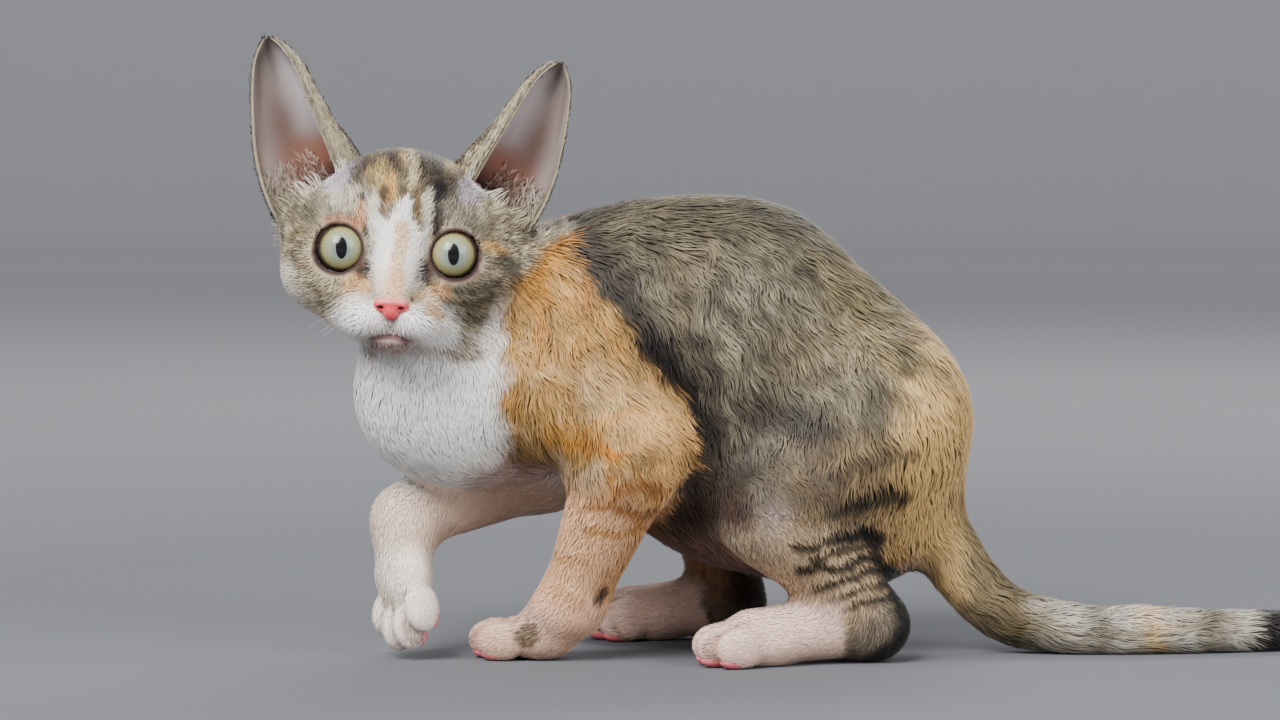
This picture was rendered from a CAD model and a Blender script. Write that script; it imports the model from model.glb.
"""A still, life-size devon rex kitten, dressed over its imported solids. Metres, +Z up."""
import math

import bpy
import numpy as np
from mathutils import Matrix, Vector
from mathutils.kdtree import KDTree


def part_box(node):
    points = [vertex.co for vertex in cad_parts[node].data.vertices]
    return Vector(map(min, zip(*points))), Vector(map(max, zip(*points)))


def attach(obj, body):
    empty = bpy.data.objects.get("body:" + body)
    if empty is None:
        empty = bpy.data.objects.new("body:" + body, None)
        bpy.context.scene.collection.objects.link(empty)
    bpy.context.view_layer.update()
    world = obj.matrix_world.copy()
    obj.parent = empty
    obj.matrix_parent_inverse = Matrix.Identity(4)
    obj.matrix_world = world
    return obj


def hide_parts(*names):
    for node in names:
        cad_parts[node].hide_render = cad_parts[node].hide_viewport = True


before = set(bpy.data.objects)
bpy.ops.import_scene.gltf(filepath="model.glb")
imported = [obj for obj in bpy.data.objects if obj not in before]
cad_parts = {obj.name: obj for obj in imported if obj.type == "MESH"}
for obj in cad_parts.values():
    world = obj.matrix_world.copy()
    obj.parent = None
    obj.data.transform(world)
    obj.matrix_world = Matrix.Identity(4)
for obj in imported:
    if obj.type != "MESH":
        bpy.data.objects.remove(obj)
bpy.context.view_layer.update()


# The flesh: one smooth form over trunk, neck, head, legs, feet and tail, written in millimetres
# as distance fields, negative inside. It is the kitten's outline out to the tips of its coat, and
# its skin, hair and markings are all laid out on it.
def egg(centre, radii, yaw=0):
    c, s = math.cos(math.radians(yaw)), math.sin(math.radians(yaw))
    rx, ry, rz = radii

    def field(p):
        dx, dy, dz = (p[:, k] - centre[k] for k in range(3))
        u, v, w = (c * dx + s * dy) / rx, (c * dy - s * dx) / ry, dz / rz
        k = np.sqrt(u * u + v * v + w * w)
        slope = np.sqrt((u / rx) ** 2 + (v / ry) ** 2 + (w / rz) ** 2)
        return k * (k - 1) / np.maximum(slope, 1e-6)

    return field


def limb(start, end, radius_start, radius_end):
    start = np.array(start, np.float32)
    axis = np.array(end, np.float32) - start
    span = float(axis @ axis)

    def field(p):
        d = p - start
        t = np.clip((d @ axis) / span, 0, 1)
        off = d - t[:, None] * axis
        radius = radius_start + (radius_end - radius_start) * t
        return np.sqrt(np.einsum("ij,ij->i", off, off)) - radius

    return field


def smooth(width, *fields):
    def field(p):
        total = fields[0](p)
        for other in fields[1:]:
            d = other(p)
            near = np.maximum(width - np.abs(total - d), 0) / width
            total = np.minimum(total, d) - near * near * width / 4
        return total

    return field


def placed(field, place):
    origin, axes = place
    return lambda p: field((p - origin) @ axes)


def place_at(origin, ahead, up):
    x = np.array(ahead, float) / np.linalg.norm(ahead)
    y = np.cross(up, x)
    y /= np.linalg.norm(y)
    axes = np.stack([x, y, np.cross(x, y)], 1)
    return np.array(origin, np.float32), axes.astype(np.float32)


def both(x, y, z, radii):
    return egg((x, y, z), radii), egg((-x, y, z), radii)


LEG = {
    "fore_left": [(-26, -34, 88), (-3, -41, 69), (-22, -25, 19), (-32, -21, 10)],
    "fore_right": [(-62, 12, 82), (-32, 20, 63), (-77, -10, 45), (-78, -15, 28)],
    "hind_left": [(78, -20, 80), (46, -36, 50), (76, -26, 12), (36, -37, 9)],
    "hind_right": [(74, 20, 80), (22, 37, 58), (31, 34, 12), (-3, 35, 9)],
}
LEG_RADII = {"fore": [23, 17, 10.2, 9], "hind": [30, 18.5, 10.2, 9.5]}
LEG_FILLET = {"fore": 8, "hind": 9}
PAW = {
    "fore_left": place_at((-25, -22, 0), (-1, 0.3, 0), (0, 0, 1)),
    "fore_right": place_at((-71, -12, 33), (-0.03, -0.25, -1), (-0.8, -0.6, 0.1)),
    "hind_left": place_at((47.5, -35, 0), (-1, -0.2, 0), (0, 0, 1)),
    "hind_right": place_at((12, 35, 0), (-1, 0.03, 0), (0, 0, 1)),
}
TOE_PITCH = 6.1


def leg(name):
    joints, radii = LEG[name], LEG_RADII[name[:4]]
    bones = [limb(*joints[k : k + 2], *radii[k : k + 2]) for k in range(3)]
    return smooth(LEG_FILLET[name[:4]], *bones)


def foot(length, toe):
    toes = []
    for side in (-1.5, -0.5, 0.5, 1.5):
        back = 5 if abs(side) > 1 else 0
        toes.append(egg((length - back, side * TOE_PITCH, toe[2] * 0.94), toe, side * 7))
    pad = egg((length - 15, 0, toe[2]), (12, 10.5, toe[2] * 1.12))
    return smooth(1.3, pad, *toes)


feet = {
    name: placed(foot(23.5, (8.5, 4.4, 6.8)) if "fore" in name else foot(22, (9, 4.3, 7.2)), at)
    for name, at in PAW.items()
}

trunk = smooth(
    20,
    egg((6, -2, 100), (44, 38, 50)),
    egg((36, 0, 97), (42, 41, 53)),
    egg((68, 0, 70), (41, 39, 50)),
    egg((34, 0, 62), (40, 34, 33)),
    egg((-14, -8, 108), (32, 32, 32), 15),
    egg((-55.5, -16, 88), (40, 31, 33), 30),
)
neck = limb((-26, -10, 108), (-66, -26, 124), 29, 26)

HEAD_ROLL = math.radians(3.4)
HEAD_AXES = np.array(
    [
        [math.cos(HEAD_ROLL), 0, math.sin(HEAD_ROLL)],
        [0, 1, 0],
        [-math.sin(HEAD_ROLL), 0, math.cos(HEAD_ROLL)],
    ],
    np.float32,
)
HEAD = (np.array((-77, -33, 140), np.float32), HEAD_AXES)
skull = smooth(
    9,
    egg((0, 2, 0.5), (31, 29, 27)),
    egg((0, -13, 10), (19, 12, 15)),
    *both(27, 3, 2, (13.5, 12, 17)),
    *both(21.5, -8, -13, (16.5, 18, 15)),
    egg((0, -15, -25.5), (21, 19, 12)),
)
face = smooth(
    4,
    skull,
    *both(16.5, -14, 5.5, (13, 10.5, 9)),
    *both(15, -18, -18, (10, 7.5, 7)),
    limb((0, -20, -3), (0, -35, -19), 8.6, 6.6),
    egg((0, -31, -33.2), (8, 7.5, 5.4)),
)
muzzle = smooth(2.2, face, *both(7.6, -33.5, -27, (8.6, 9, 7.2)))


def flowing(points, spots, power=0.25):
    """Points along a smooth line through the given ones, at places from 0 to 1."""
    line = np.array(points, float)
    line = np.vstack([2 * line[0] - line[1], line, 2 * line[-1] - line[-2]])
    spots = np.clip(np.asarray(spots, float), 0, 1) * (len(points) - 1)
    k = np.minimum(spots.astype(int), len(points) - 2)
    t = (spots - k)[:, None]
    p0, p1, p2, p3 = (line[k + n] for n in range(4))
    gap = [((b - a) ** 2).sum(1, keepdims=True) ** power for a, b in ((p0, p1), (p1, p2), (p2, p3))]
    leave = (p1 - p0) / gap[0] - (p2 - p0) / (gap[0] + gap[1]) + (p2 - p1) / gap[1]
    reach = (p2 - p1) / gap[1] - (p3 - p1) / (gap[1] + gap[2]) + (p3 - p2) / gap[2]
    leave, reach = leave * gap[1], reach * gap[1]
    cubic = 2 * p1 - 2 * p2 + leave + reach
    square = -3 * p1 + 3 * p2 - 2 * leave - reach
    return ((cubic * t + square) * t + leave) * t + p1


TAIL_LINE = [
    (90, 2, 56),
    (104, 1, 31),
    (119, -2, 14),
    (140, -5, 8.6),
    (170, -5, 7.8),
    (200, 0, 7),
    (232, 10, 6),
    (264, 22, 4.8),
]
TAIL_JOINTS = 27
tail_path = flowing(TAIL_LINE, np.linspace(0, 1, TAIL_JOINTS + 1))
tail_radii = 11 - 6 * np.linspace(0, 1, TAIL_JOINTS + 1) ** 0.8
tail = smooth(
    4,
    *[
        limb(tail_path[k], tail_path[k + 1], tail_radii[k], tail_radii[k + 1])
        for k in range(TAIL_JOINTS)
    ],
)
bare_body = smooth(10, smooth(16, trunk, neck), *[leg(name) for name in LEG])
form = smooth(8, smooth(4, bare_body, *feet.values()), placed(muzzle, HEAD), tail)


def ramp(x, low, high):
    t = np.clip((x - low) / (high - low), 0, 1)
    return t * t * (3 - 2 * t)


# The room for the coat: how deep the skin lies under the tips of the hair. It is deepest on the
# trunk and shallow where hair is short: each field, its least depth, and the reach of the change.
COAT_DEPTH = 1.9
SHORT_HAIR = (
    [(field, 0.5, 9) for field in feet.values()]
    + [(limb(*LEG[n][1:3], 14, 9), 0.9, 16) for n in LEG]
    + [(limb(*LEG[n][2:4], 9, 9), 0.7, 12) for n in LEG]
    + [(placed(face, HEAD), 0.9, 14), (tail, 1.5, 12), (egg((-66, -34, 84), (26, 30, 34)), 0.9, 14)]
)


def coat_depth(p):
    depth = np.full(len(p), COAT_DEPTH, np.float32)
    for field, least, reach in SHORT_HAIR:
        depth = least + (depth - least) * ramp(field(p), 0, reach)
    return depth


# The skin: a thin, loose, pinkish hide, drawn over the flesh. It is surfaced as overlapping
# shells, finer on the head and the feet, which lie in one surface, so that no seam shows.
PLANES_OF_HEAD = [
    (HEAD[0] + HEAD_AXES @ (0, -2, -36), HEAD_AXES @ (0, 0.85, -0.527)),
    (HEAD[0] + HEAD_AXES @ (0, 0, -39.5), (0, 0, -1)),
    ((-44, -40, 110), (0.85, -0.3, -0.4)),
    ((-34, -13, 118), (0.85, 0.35, -0.4)),
]
PLANES_OF_FOOT = {
    "fore_left": [((-24, -24, 17), (0.7, -0.1, 0.72)), ((-6, 0, 0), (1, 0, 0))],
    "fore_right": [((-78, -12, 37), (0, 0.1, 1)), ((-60, 0, 30), (0.97, 0.1, -0.2))],
    "hind_left": [((46, -34, 12), (0.6, 0.1, 0.8)), ((48, 0, 0), (1, 0, 0))],
    "hind_right": [((11, 35, 12), (0.6, 0, 0.8)), ((14, 0, 0), (1, 0, 0))],
}
FOOT_SPAN = 17


def within(planes):
    def field(p):
        beyond = [
            (p - np.array(point, np.float32)) @ (np.array(way, np.float32) / np.linalg.norm(way))
            for point, way in planes
        ]
        return np.max(beyond, axis=0)

    return field


in_head = within(PLANES_OF_HEAD)
in_foot = {}
for name, planes in PLANES_OF_FOOT.items():
    x, y, _ = PAW[name][0] - (38, 4 if name == "hind_left" else 0, 0)
    sides = [((0, y - FOOT_SPAN, 0), (0, -1, 0)), ((0, y + FOOT_SPAN, 0), (0, 1, 0))]
    ends = [((x, 0, 0), (-1, 0, 0)), ((0, 0, 40), (0, 0, 1))]
    in_foot[name] = within(planes + sides + ends)


def sampled(field, low, high, cell, block=4):
    """Values of a field on a grid, exact in the blocks that its surface may cross."""
    low = np.array(low, np.float32)
    blocks = np.ceil((np.array(high) - low) / (cell * block)).astype(int)
    corner = np.argwhere(np.ones(blocks, bool)) * block
    coarse = field((low + (corner + (block - 1) / 2) * cell).astype(np.float32))
    value = coarse.reshape(blocks)
    for axis in range(3):
        value = np.repeat(value, block, axis)
    inner = np.argwhere(np.ones([block] * 3, bool))
    spots = (corner[np.abs(coarse) < 1.4 * cell * block, None] + inner).reshape(-1, 3)
    for part in np.array_split(spots, len(spots) // 50000 + 1):
        value[tuple(part.T)] = field((low + part * cell).astype(np.float32))
    return value, low, cell


def slope_of(field, p, step=0.15):
    slope = np.empty_like(p)
    for k in range(3):
        aside = np.zeros(3, np.float32)
        aside[k] = step
        slope[:, k] = (field(p + aside) - field(p - aside)) / (2 * step)
    return slope


def surfaced(field, low, high, cell, settle=2):
    """Vertices and four-sided faces of a field's surface, one vertex in each cell it crosses."""
    value, low, cell = sampled(field, low, high, cell)
    for edge in (0, -1):
        value[edge], value[:, edge], value[:, :, edge] = 9, 9, 9
    inside = value < 0
    corners = [(c & 1, c >> 1 & 1, c >> 2) for c in range(8)]
    size = [n - 1 for n in value.shape]

    def at_corner(grid, c):
        return grid[tuple(slice(o, o + n) for o, n in zip(c, size))]

    full = np.sum([at_corner(inside, c) for c in corners], axis=0)
    crossed = (full > 0) & (full < 8)
    number = np.full(size, -1)
    number[crossed] = np.arange(crossed.sum())
    v = np.stack([at_corner(value, c)[crossed] for c in corners], 1)
    total = np.zeros((len(v), 3))
    count = np.zeros(len(v))
    for a in range(8):
        for bit in (1, 2, 4):
            if a & bit:
                continue
            b = a | bit
            cut = (v[:, a] < 0) != (v[:, b] < 0)
            t = (v[cut, a] / (v[cut, a] - v[cut, b]))[:, None]
            total[cut] += np.array(corners[a]) * (1 - t) + np.array(corners[b]) * t
            count[cut] += 1
    points = (np.argwhere(crossed) + total / count[:, None]) * cell + low
    points = points.astype(np.float32)
    for _ in range(settle):
        slope = slope_of(field, points)
        move = field(points)[:, None] * slope / np.maximum((slope**2).sum(1, keepdims=True), 0.3)
        points -= np.clip(move, -cell / 2, cell / 2)
    faces = []
    for axis in range(3):
        u, w = (axis + 1) % 3, (axis + 2) % 3
        ahead = np.take(inside, range(1, inside.shape[axis]), axis)
        here = np.take(inside, range(inside.shape[axis] - 1), axis)
        for change, order in ((here & ~ahead, 1), (~here & ahead, -1)):
            spot = np.argwhere(change)
            ring = []
            for du, dw in ((0, 0), (1, 0), (1, 1), (0, 1))[::order]:
                cell_at = spot.copy()
                cell_at[:, u] -= du
                cell_at[:, w] -= dw
                ring.append(number[tuple(cell_at.T)])
            faces.append(np.stack(ring, 1))
    return points, np.vstack(faces)


OVERLAP, SEAM_SINK, SEAM_WIDTH = 4, 0.3, 5  # the coarse shell dips under the fine ones
FOOT_CELL, HEAD_CELL, BODY_CELL = 0.9, 0.85, 1.9
FLOOR_GAP = 0.15


def skin_field(p):
    return np.maximum(form(p) + coat_depth(p), FLOOR_GAP - p[:, 2])


def body_shell(p):
    d = skin_field(p)
    for region in (in_head, *in_foot.values()):
        beyond = region(p)
        d = np.maximum(d + SEAM_SINK * (1 - ramp(beyond, 0, SEAM_WIDTH)), -beyond - OVERLAP)
    return d


EYE = {"radius": 9.2, "x": 17.8, "y": -18, "z": -5.5, "outward": 8}
LID_RING, LID_THICK, LID_AHEAD = 7.8, 0.75, 4.5


def lid_ring(side):
    """The rim of an eye's opening, in the head's frame: a ring before the ball."""
    turn = math.radians(side * EYE["outward"])
    way = np.array((math.sin(turn), -math.cos(turn), 0), np.float32)
    centre = np.array((side * EYE["x"], EYE["y"], EYE["z"]), np.float32)

    def field(q):
        d = q - centre
        ahead = d @ way
        off = d - ahead[:, None] * way
        around = np.sqrt((off**2).sum(1))
        return np.hypot(around - LID_RING, ahead - LID_AHEAD) - LID_THICK, around, ahead, off

    return field


MOUTH_STEPS, LIP_GROOVE, PHILTRUM_GROOVE = 16, 0.85, 0.6
MOUTH = flowing(
    [
        (-12, -27, -36.2),
        (-8.8, -34.6, -34.4),
        (-4, -37.9, -32.7),
        (0, -37.2, -31.5),
        (4, -37.9, -32.7),
        (8.8, -34.6, -34.4),
        (12, -27, -36.2),
    ],
    np.linspace(0, 1, MOUTH_STEPS + 1),
)
mouth_line = smooth(
    0.6, *[limb(a, b, LIP_GROOVE, LIP_GROOVE) for a, b in zip(MOUTH, MOUTH[1:])]
)
philtrum = limb((0, -38.4, -25), (0, -37.2, -31.5), PHILTRUM_GROOVE, PHILTRUM_GROOVE)


# The ears' cups, which the skin of the head is cut out around: their rims in the head's frame,
# from the root to the tip, and the depth of the bowl behind them.
INNER_RIM = [
    (17, -3, 12),
    (20.5, -5, 19),
    (24, -5, 26.5),
    (27.2, -5, 33),
    (31.5, -4, 42),
    (37.2, -2.5, 53),
    (41.5, -1.5, 58.2),
    (44.8, -1, 60.4),
]
OUTER_RIM = [
    (36, 2, -5),
    (42, 3, 2.5),
    (46.6, 3.5, 12),
    (49.4, 3.5, 22),
    (50.8, 2.5, 33),
    (51.4, 1.5, 44),
    (50.8, 0.5, 53),
    (48.4, 0, 59.6),
]
EAR_DEPTH, EAR_TIP_DEPTH, EAR_SWELL, EAR_WALL, EAR_PILE = 12, 1.6, 15.5, 1.2, 0.5
EAR_LEAN, EAR_ROOT = math.radians(3), np.array((30, 0, 5))
LEFT_EAR_SIZE = (0.93, 1, 0.97)  # a little narrower and lower than the right one
RIM_STEPS = np.linspace(0, 1, 25)
rims = flowing(INNER_RIM, RIM_STEPS), flowing(OUTER_RIM, RIM_STEPS)


def cup(t, s, wide, inset):
    """Share of the way across an ear's opening, and depth behind it, of a place on its wall."""
    turn = math.pi * s
    deep = (EAR_TIP_DEPTH + EAR_DEPTH * np.sqrt(1 - t) - inset) * np.sin(turn)
    swell = EAR_SWELL * (1 - t) * np.sin(turn) * (1 + np.cos(turn)) / 1.3
    across = (1 - np.cos(turn)) / 2
    return (inset - swell + across * (wide - 2 * inset)) / wide, deep


def into_ear(q, side):
    """From the head's frame to the frame in which the rims are written."""
    if side < 0:
        return q * (-1, 1, 1)
    q = q - EAR_ROOT
    c, k = math.cos(EAR_LEAN), math.sin(EAR_LEAN)
    q = np.stack([c * q[:, 0] - k * q[:, 2], q[:, 1], c * q[:, 2] + k * q[:, 0]], 1)
    return q / LEFT_EAR_SIZE + EAR_ROOT


def ear_pit(q, side):
    """Distance into the hollow in front of an ear's wall, negative within it."""
    q = into_ear(q, side)
    inner, outer = rims
    chord = outer - inner
    d = q[:, None] - inner
    over = (chord[:, 0] * d[:, :, 2] - chord[:, 2] * d[:, :, 0]) / np.hypot(chord[:, 0], chord[:, 2])
    below = np.clip((over > 0).sum(1) - 1, 0, len(RIM_STEPS) - 2)
    row = np.arange(len(q))
    first, second = over[row, below], over[row, below + 1]
    part = np.clip(first / np.maximum(first - second, 1e-6), 0, 1)
    t = (below + part) / (len(RIM_STEPS) - 1)
    a = inner[below] + (inner[below + 1] - inner[below]) * part[:, None]
    b = outer[below] + (outer[below + 1] - outer[below]) * part[:, None]
    wide = np.linalg.norm(b - a, axis=1)
    share = ((q - a)[:, [0, 2]] * (b - a)[:, [0, 2]]).sum(1) / (wide**2)
    opening = a[:, 1] + (b - a)[:, 1] * share
    deep = np.zeros(len(q))
    for s in np.linspace(0.2, 0.98, 14):
        place, depth = cup(t, s, wide, EAR_PILE + EAR_WALL)
        deep = np.maximum(deep, depth * (np.abs(place - share) < 0.09))
    front = 1 + 17 * ramp(t, 0.1, 0.26)
    walls = [(0.02 - share) * wide, (share - 0.99) * wide, q[:, 1] - opening - deep]
    return np.max(walls + [opening - front - q[:, 1], 0.8 - over[:, 0]], axis=0)


EAR_LOBES = both(23, -6, 14.5, (2.6, 2.6, 3.2))


def head_shell(p):
    d = skin_field(p)
    q = (p - HEAD[0]) @ HEAD_AXES
    for side in (-1, 1):
        d = np.maximum(d, -ear_pit(q, side))
    lobe = np.min([bump(q) for bump in EAR_LOBES], axis=0)
    near = np.maximum(2 - np.abs(d - lobe), 0) / 2
    d = np.minimum(d, lobe) - near * near * 0.5
    for side in (-1, 1):
        rim, around, ahead, off = lid_ring(side)(q)
        hole = np.maximum(around - LID_RING - 0.3 * np.maximum(ahead - LID_AHEAD, 0), 1 - ahead)
        d = np.maximum(d, -hole)
        near = np.maximum(2.4 - np.abs(d - rim), 0) / 2.4
        d = np.minimum(d, rim) - near * near * 0.6
        d = np.maximum(d, EYE["radius"] - 0.1 - np.sqrt(around**2 + ahead**2))
    d = np.maximum(d, -mouth_line(q))
    d = np.maximum(d, -philtrum(q))
    return np.maximum(d, in_head(p) - OVERLAP)


def foot_shell(name):
    return lambda p: np.maximum(skin_field(p), in_foot[name](p) - OVERLAP)


shells = [
    surfaced(body_shell, (-112, -68, -3), (272, 68, 160), BODY_CELL),
    surfaced(head_shell, (-124, -82, 92), (-28, 8, 176), HEAD_CELL, 1),
]
for name, (origin, _) in PAW.items():
    low, high = origin - (42, 24, 4), origin + (12, 22, 26)
    if name == "fore_right":
        low, high = origin - (18, 24, 36), origin + (22, 20, 14)
    shells.append(surfaced(foot_shell(name), low, high, FOOT_CELL))


# The markings: grey-brown tabby with black bars, cream and orange over the shoulder and the rump,
# white on the face, chest and feet, and pink bare skin where the hair is thin. They are the same
# on the skin and on each tuft that grows from it.
def linear(code):
    value = np.array([int(code[k : k + 2], 16) for k in (0, 2, 4)]) / 255
    return np.where(value <= 0.04045, value / 12.92, ((value + 0.055) / 1.055) ** 2.4)


TILT = np.array(Matrix.Rotation(0.7, 3, (0.3, 0.8, 0.5)))


def noise(p, size, seed=0, finer=2):
    """Smooth values, mostly from -1 to 1, that change over about the given size."""
    q = np.asarray(p, float) @ TILT / size + seed * 31.7
    base = np.floor(q).astype(np.int64)
    f = q - base
    f = f * f * (3 - 2 * f)
    total = np.zeros(len(q))
    for c in range(8):
        corner = np.array((c & 1, c >> 1 & 1, c >> 2))
        n = (base + corner) @ np.array((73856093, 19349663, 83492791))
        n = (n ^ (n >> 13)) * 1274126177 & 0x7FFFFFFF
        n = (n ^ (n >> 16)) * 668265263 & 0x7FFFFFFF
        weight = np.where(corner, f, 1 - f).prod(1)
        total += weight * ((n >> 8 & 0xFFFF) / 32767.5 - 1)
    if finer > 1:
        total += 0.45 * noise(p, size / 2.1, seed + 50, finer - 1)
    return total


def mixed(colours, amount, code):
    return colours + (linear(code) - colours) * np.clip(amount, 0, 1)[:, None]


def blot(p, centre, radii, edge=0.25, ragged=0.16, size=9):
    """1 within an egg-shaped patch with a ragged edge, 0 outside it."""
    k = np.sqrt((((p - np.array(centre)) / np.array(radii)) ** 2).sum(1))
    return 1 - ramp(k + ragged * noise(p, size, 3), 1 - edge, 1 + edge)


def near_bones(p, joints, reach):
    bones = [limb(*joints[k : k + 2], 0, 0)(p) for k in range(len(joints) - 1)]
    return 1 - ramp(np.min(bones, axis=0), reach * 0.8, reach * 1.2)


def stroke(flat, line, width, soft=0.35):
    """1 along a brush stroke through the given places, 0 beyond its width."""
    far = np.full(len(flat), 1e9)
    for start, end in zip(line, line[1:]):
        start, way = np.array(start, float), np.subtract(end, start).astype(float)
        d = flat - start
        t = np.clip(d @ way / max(way @ way, 1e-6), 0, 1)
        far = np.minimum(far, np.hypot(*(d - t[:, None] * way).T))
    return 1 - ramp(far, width * (0.5 - soft), width * (0.5 + soft))


WHITE, ORANGE, DEEP_ORANGE = "FFFAF3", "BE8030", "A8661F"
PEACH, BARE = "FFC493", "A37D74"
TICKED, PALE, BROWN, SHADE, BLACK = "5E5645", "8C826D", "5A4C31", "322B24", "14110E"

# Brush strokes of the flank and thigh: width, strength, colour, and places along and up the side.
# The last THIGH_BARS of them are laid again over the pale shank.
THIGH_BARS = 8
SIDE_STROKES = [
    (15, 0.9, SHADE, [(-20, 134), (-10, 124), (2, 108), (12, 92), (19, 78), (24, 62)]),
    (9, 0.8, "40382F", [(-19, 133), (-16, 131)]),
    (9, 0.95, BLACK, [(3, 107), (9, 97), (16, 86), (19, 76)]),
    (5, 0.85, "3A332B", [(15, 110), (21, 100), (25, 88), (25, 78)]),
    (3.5, 0.7, PALE, [(22, 114), (27, 104), (29.5, 92), (29, 78)]),
    (3, 0.6, PALE, [(36, 100), (34, 86), (31, 72)]),
    (3, 0.6, PALE, [(44, 92), (38.5, 82), (36, 70)]),
    (5, 0.5, SHADE, [(31, 94), (31, 80), (27, 64)]),
    (5, 0.55, SHADE, [(41, 84), (36, 70), (30, 60)]),
    (13, 0.75, SHADE, [(36, 84), (58, 78)]),
    (18, 0.7, "3E362D", [(22, 66), (40, 58), (56, 60)]),
    (5, 0.7, "38312A", [(52, 79), (58, 82)]),
    (4, 0.5, SHADE, [(44, 70), (54, 66), (60, 70)]),
    (4, 0.5, SHADE, [(30, 62), (38, 64), (44, 70)]),
    (20, 0.85, "F2C57C", [(97, 78), (95, 60), (90, 44)]),
    (12, 0.5, "C9A674", [(78, 50), (86, 40)]),
    (5, 0.75, "4A4034", [(56, 62), (66, 66), (78, 71), (87, 71)]),
    (5, 0.95, "2E2721", [(60, 51), (69, 54), (78, 57), (86, 55)]),
    (3.5, 0.85, "40372D", [(54, 45), (62, 47), (70, 48)]),
    (5, 0.95, BLACK, [(66, 42.5), (72, 45.5), (77, 43)]),
    (3, 0.9, "2A231D", [(50, 39), (58, 41), (66, 42), (72, 45)]),
    (3.2, 0.95, BLACK, [(52, 31.5), (58, 33.6), (66, 32.5), (72, 36), (77, 34.5)]),
    (2.6, 0.9, "2A231D", [(56, 36), (64, 38), (72, 40)]),
    (2.8, 0.9, BLACK, [(57, 26), (66, 28.5), (72.5, 31.5), (79, 30)]),
    (2.4, 0.85, "2A231D", [(60, 21.5), (68, 24), (76, 26.5), (81, 25)]),
    (2.2, 0.85, BLACK, [(64, 18.5), (72, 20.5), (80, 21)]),
    (4, 0.9, BLACK, [(73, 45), (77, 36), (80, 29), (83, 23)]),
]
# Strokes of the cream shoulder and arm, in the same order
ARM_STROKES = [
    (10, 0.8, "A87022", [(-36, 126), (-30, 136), (-24, 138)]),
    (4, 0.6, DEEP_ORANGE, [(-24, 138), (-22, 130), (-16, 120)]),
    (5, 0.6, ORANGE, [(-36, 126), (-32, 114), (-31, 102)]),
    (4, 0.5, ORANGE, [(-24, 122), (-20, 108), (-22, 96)]),
    (4, 0.4, ORANGE, [(-12, 112), (-9, 100), (-10, 90)]),
    (18, 0.4, "CDB084", [(-16, 92), (0, 84)]),
    (5, 0.55, ORANGE, [(-30, 78), (-22, 76), (-14, 80), (-4, 84)]),
    (3.5, 0.75, DEEP_ORANGE, [(-18, 74), (-12, 72.5), (-6, 71)]),
    (13, 0.85, "F2B974", [(3, 80), (13, 74), (13, 66), (6, 56)]),
    (3.5, 0.75, DEEP_ORANGE, [(-10, 72), (-11, 64), (-8, 59), (0, 62), (6, 57)]),
    (3.5, 0.75, DEEP_ORANGE, [(-16, 53), (-8, 54), (0, 49), (6, 51)]),
    (3, 0.6, ORANGE, [(-17, 46), (-8, 44), (1, 46)]),
    (4, 0.7, ORANGE, [(0, 46), (6, 44)]),
    (6, 0.5, ORANGE, [(0, 40), (-6, 30), (-11, 23)]),
    (3, 0.5, "D99A66", [(-26, 36), (-18, 34)]),
    (5, 0.45, "D99A66", [(-27, 24), (-20, 20)]),
    (6, 0.5, "EBCBA2", [(-26, 68), (-18, 62), (-14, 66)]),
]
# The hind edge of the cream, down the shoulder and arm
ARM_EDGE = [
    (-24, 132),
    (-12, 119),
    (-2, 108),
    (5, 97),
    (12, 87),
    (16.5, 80),
    (16.5, 66),
    (11, 55),
    (5, 42),
]


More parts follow.
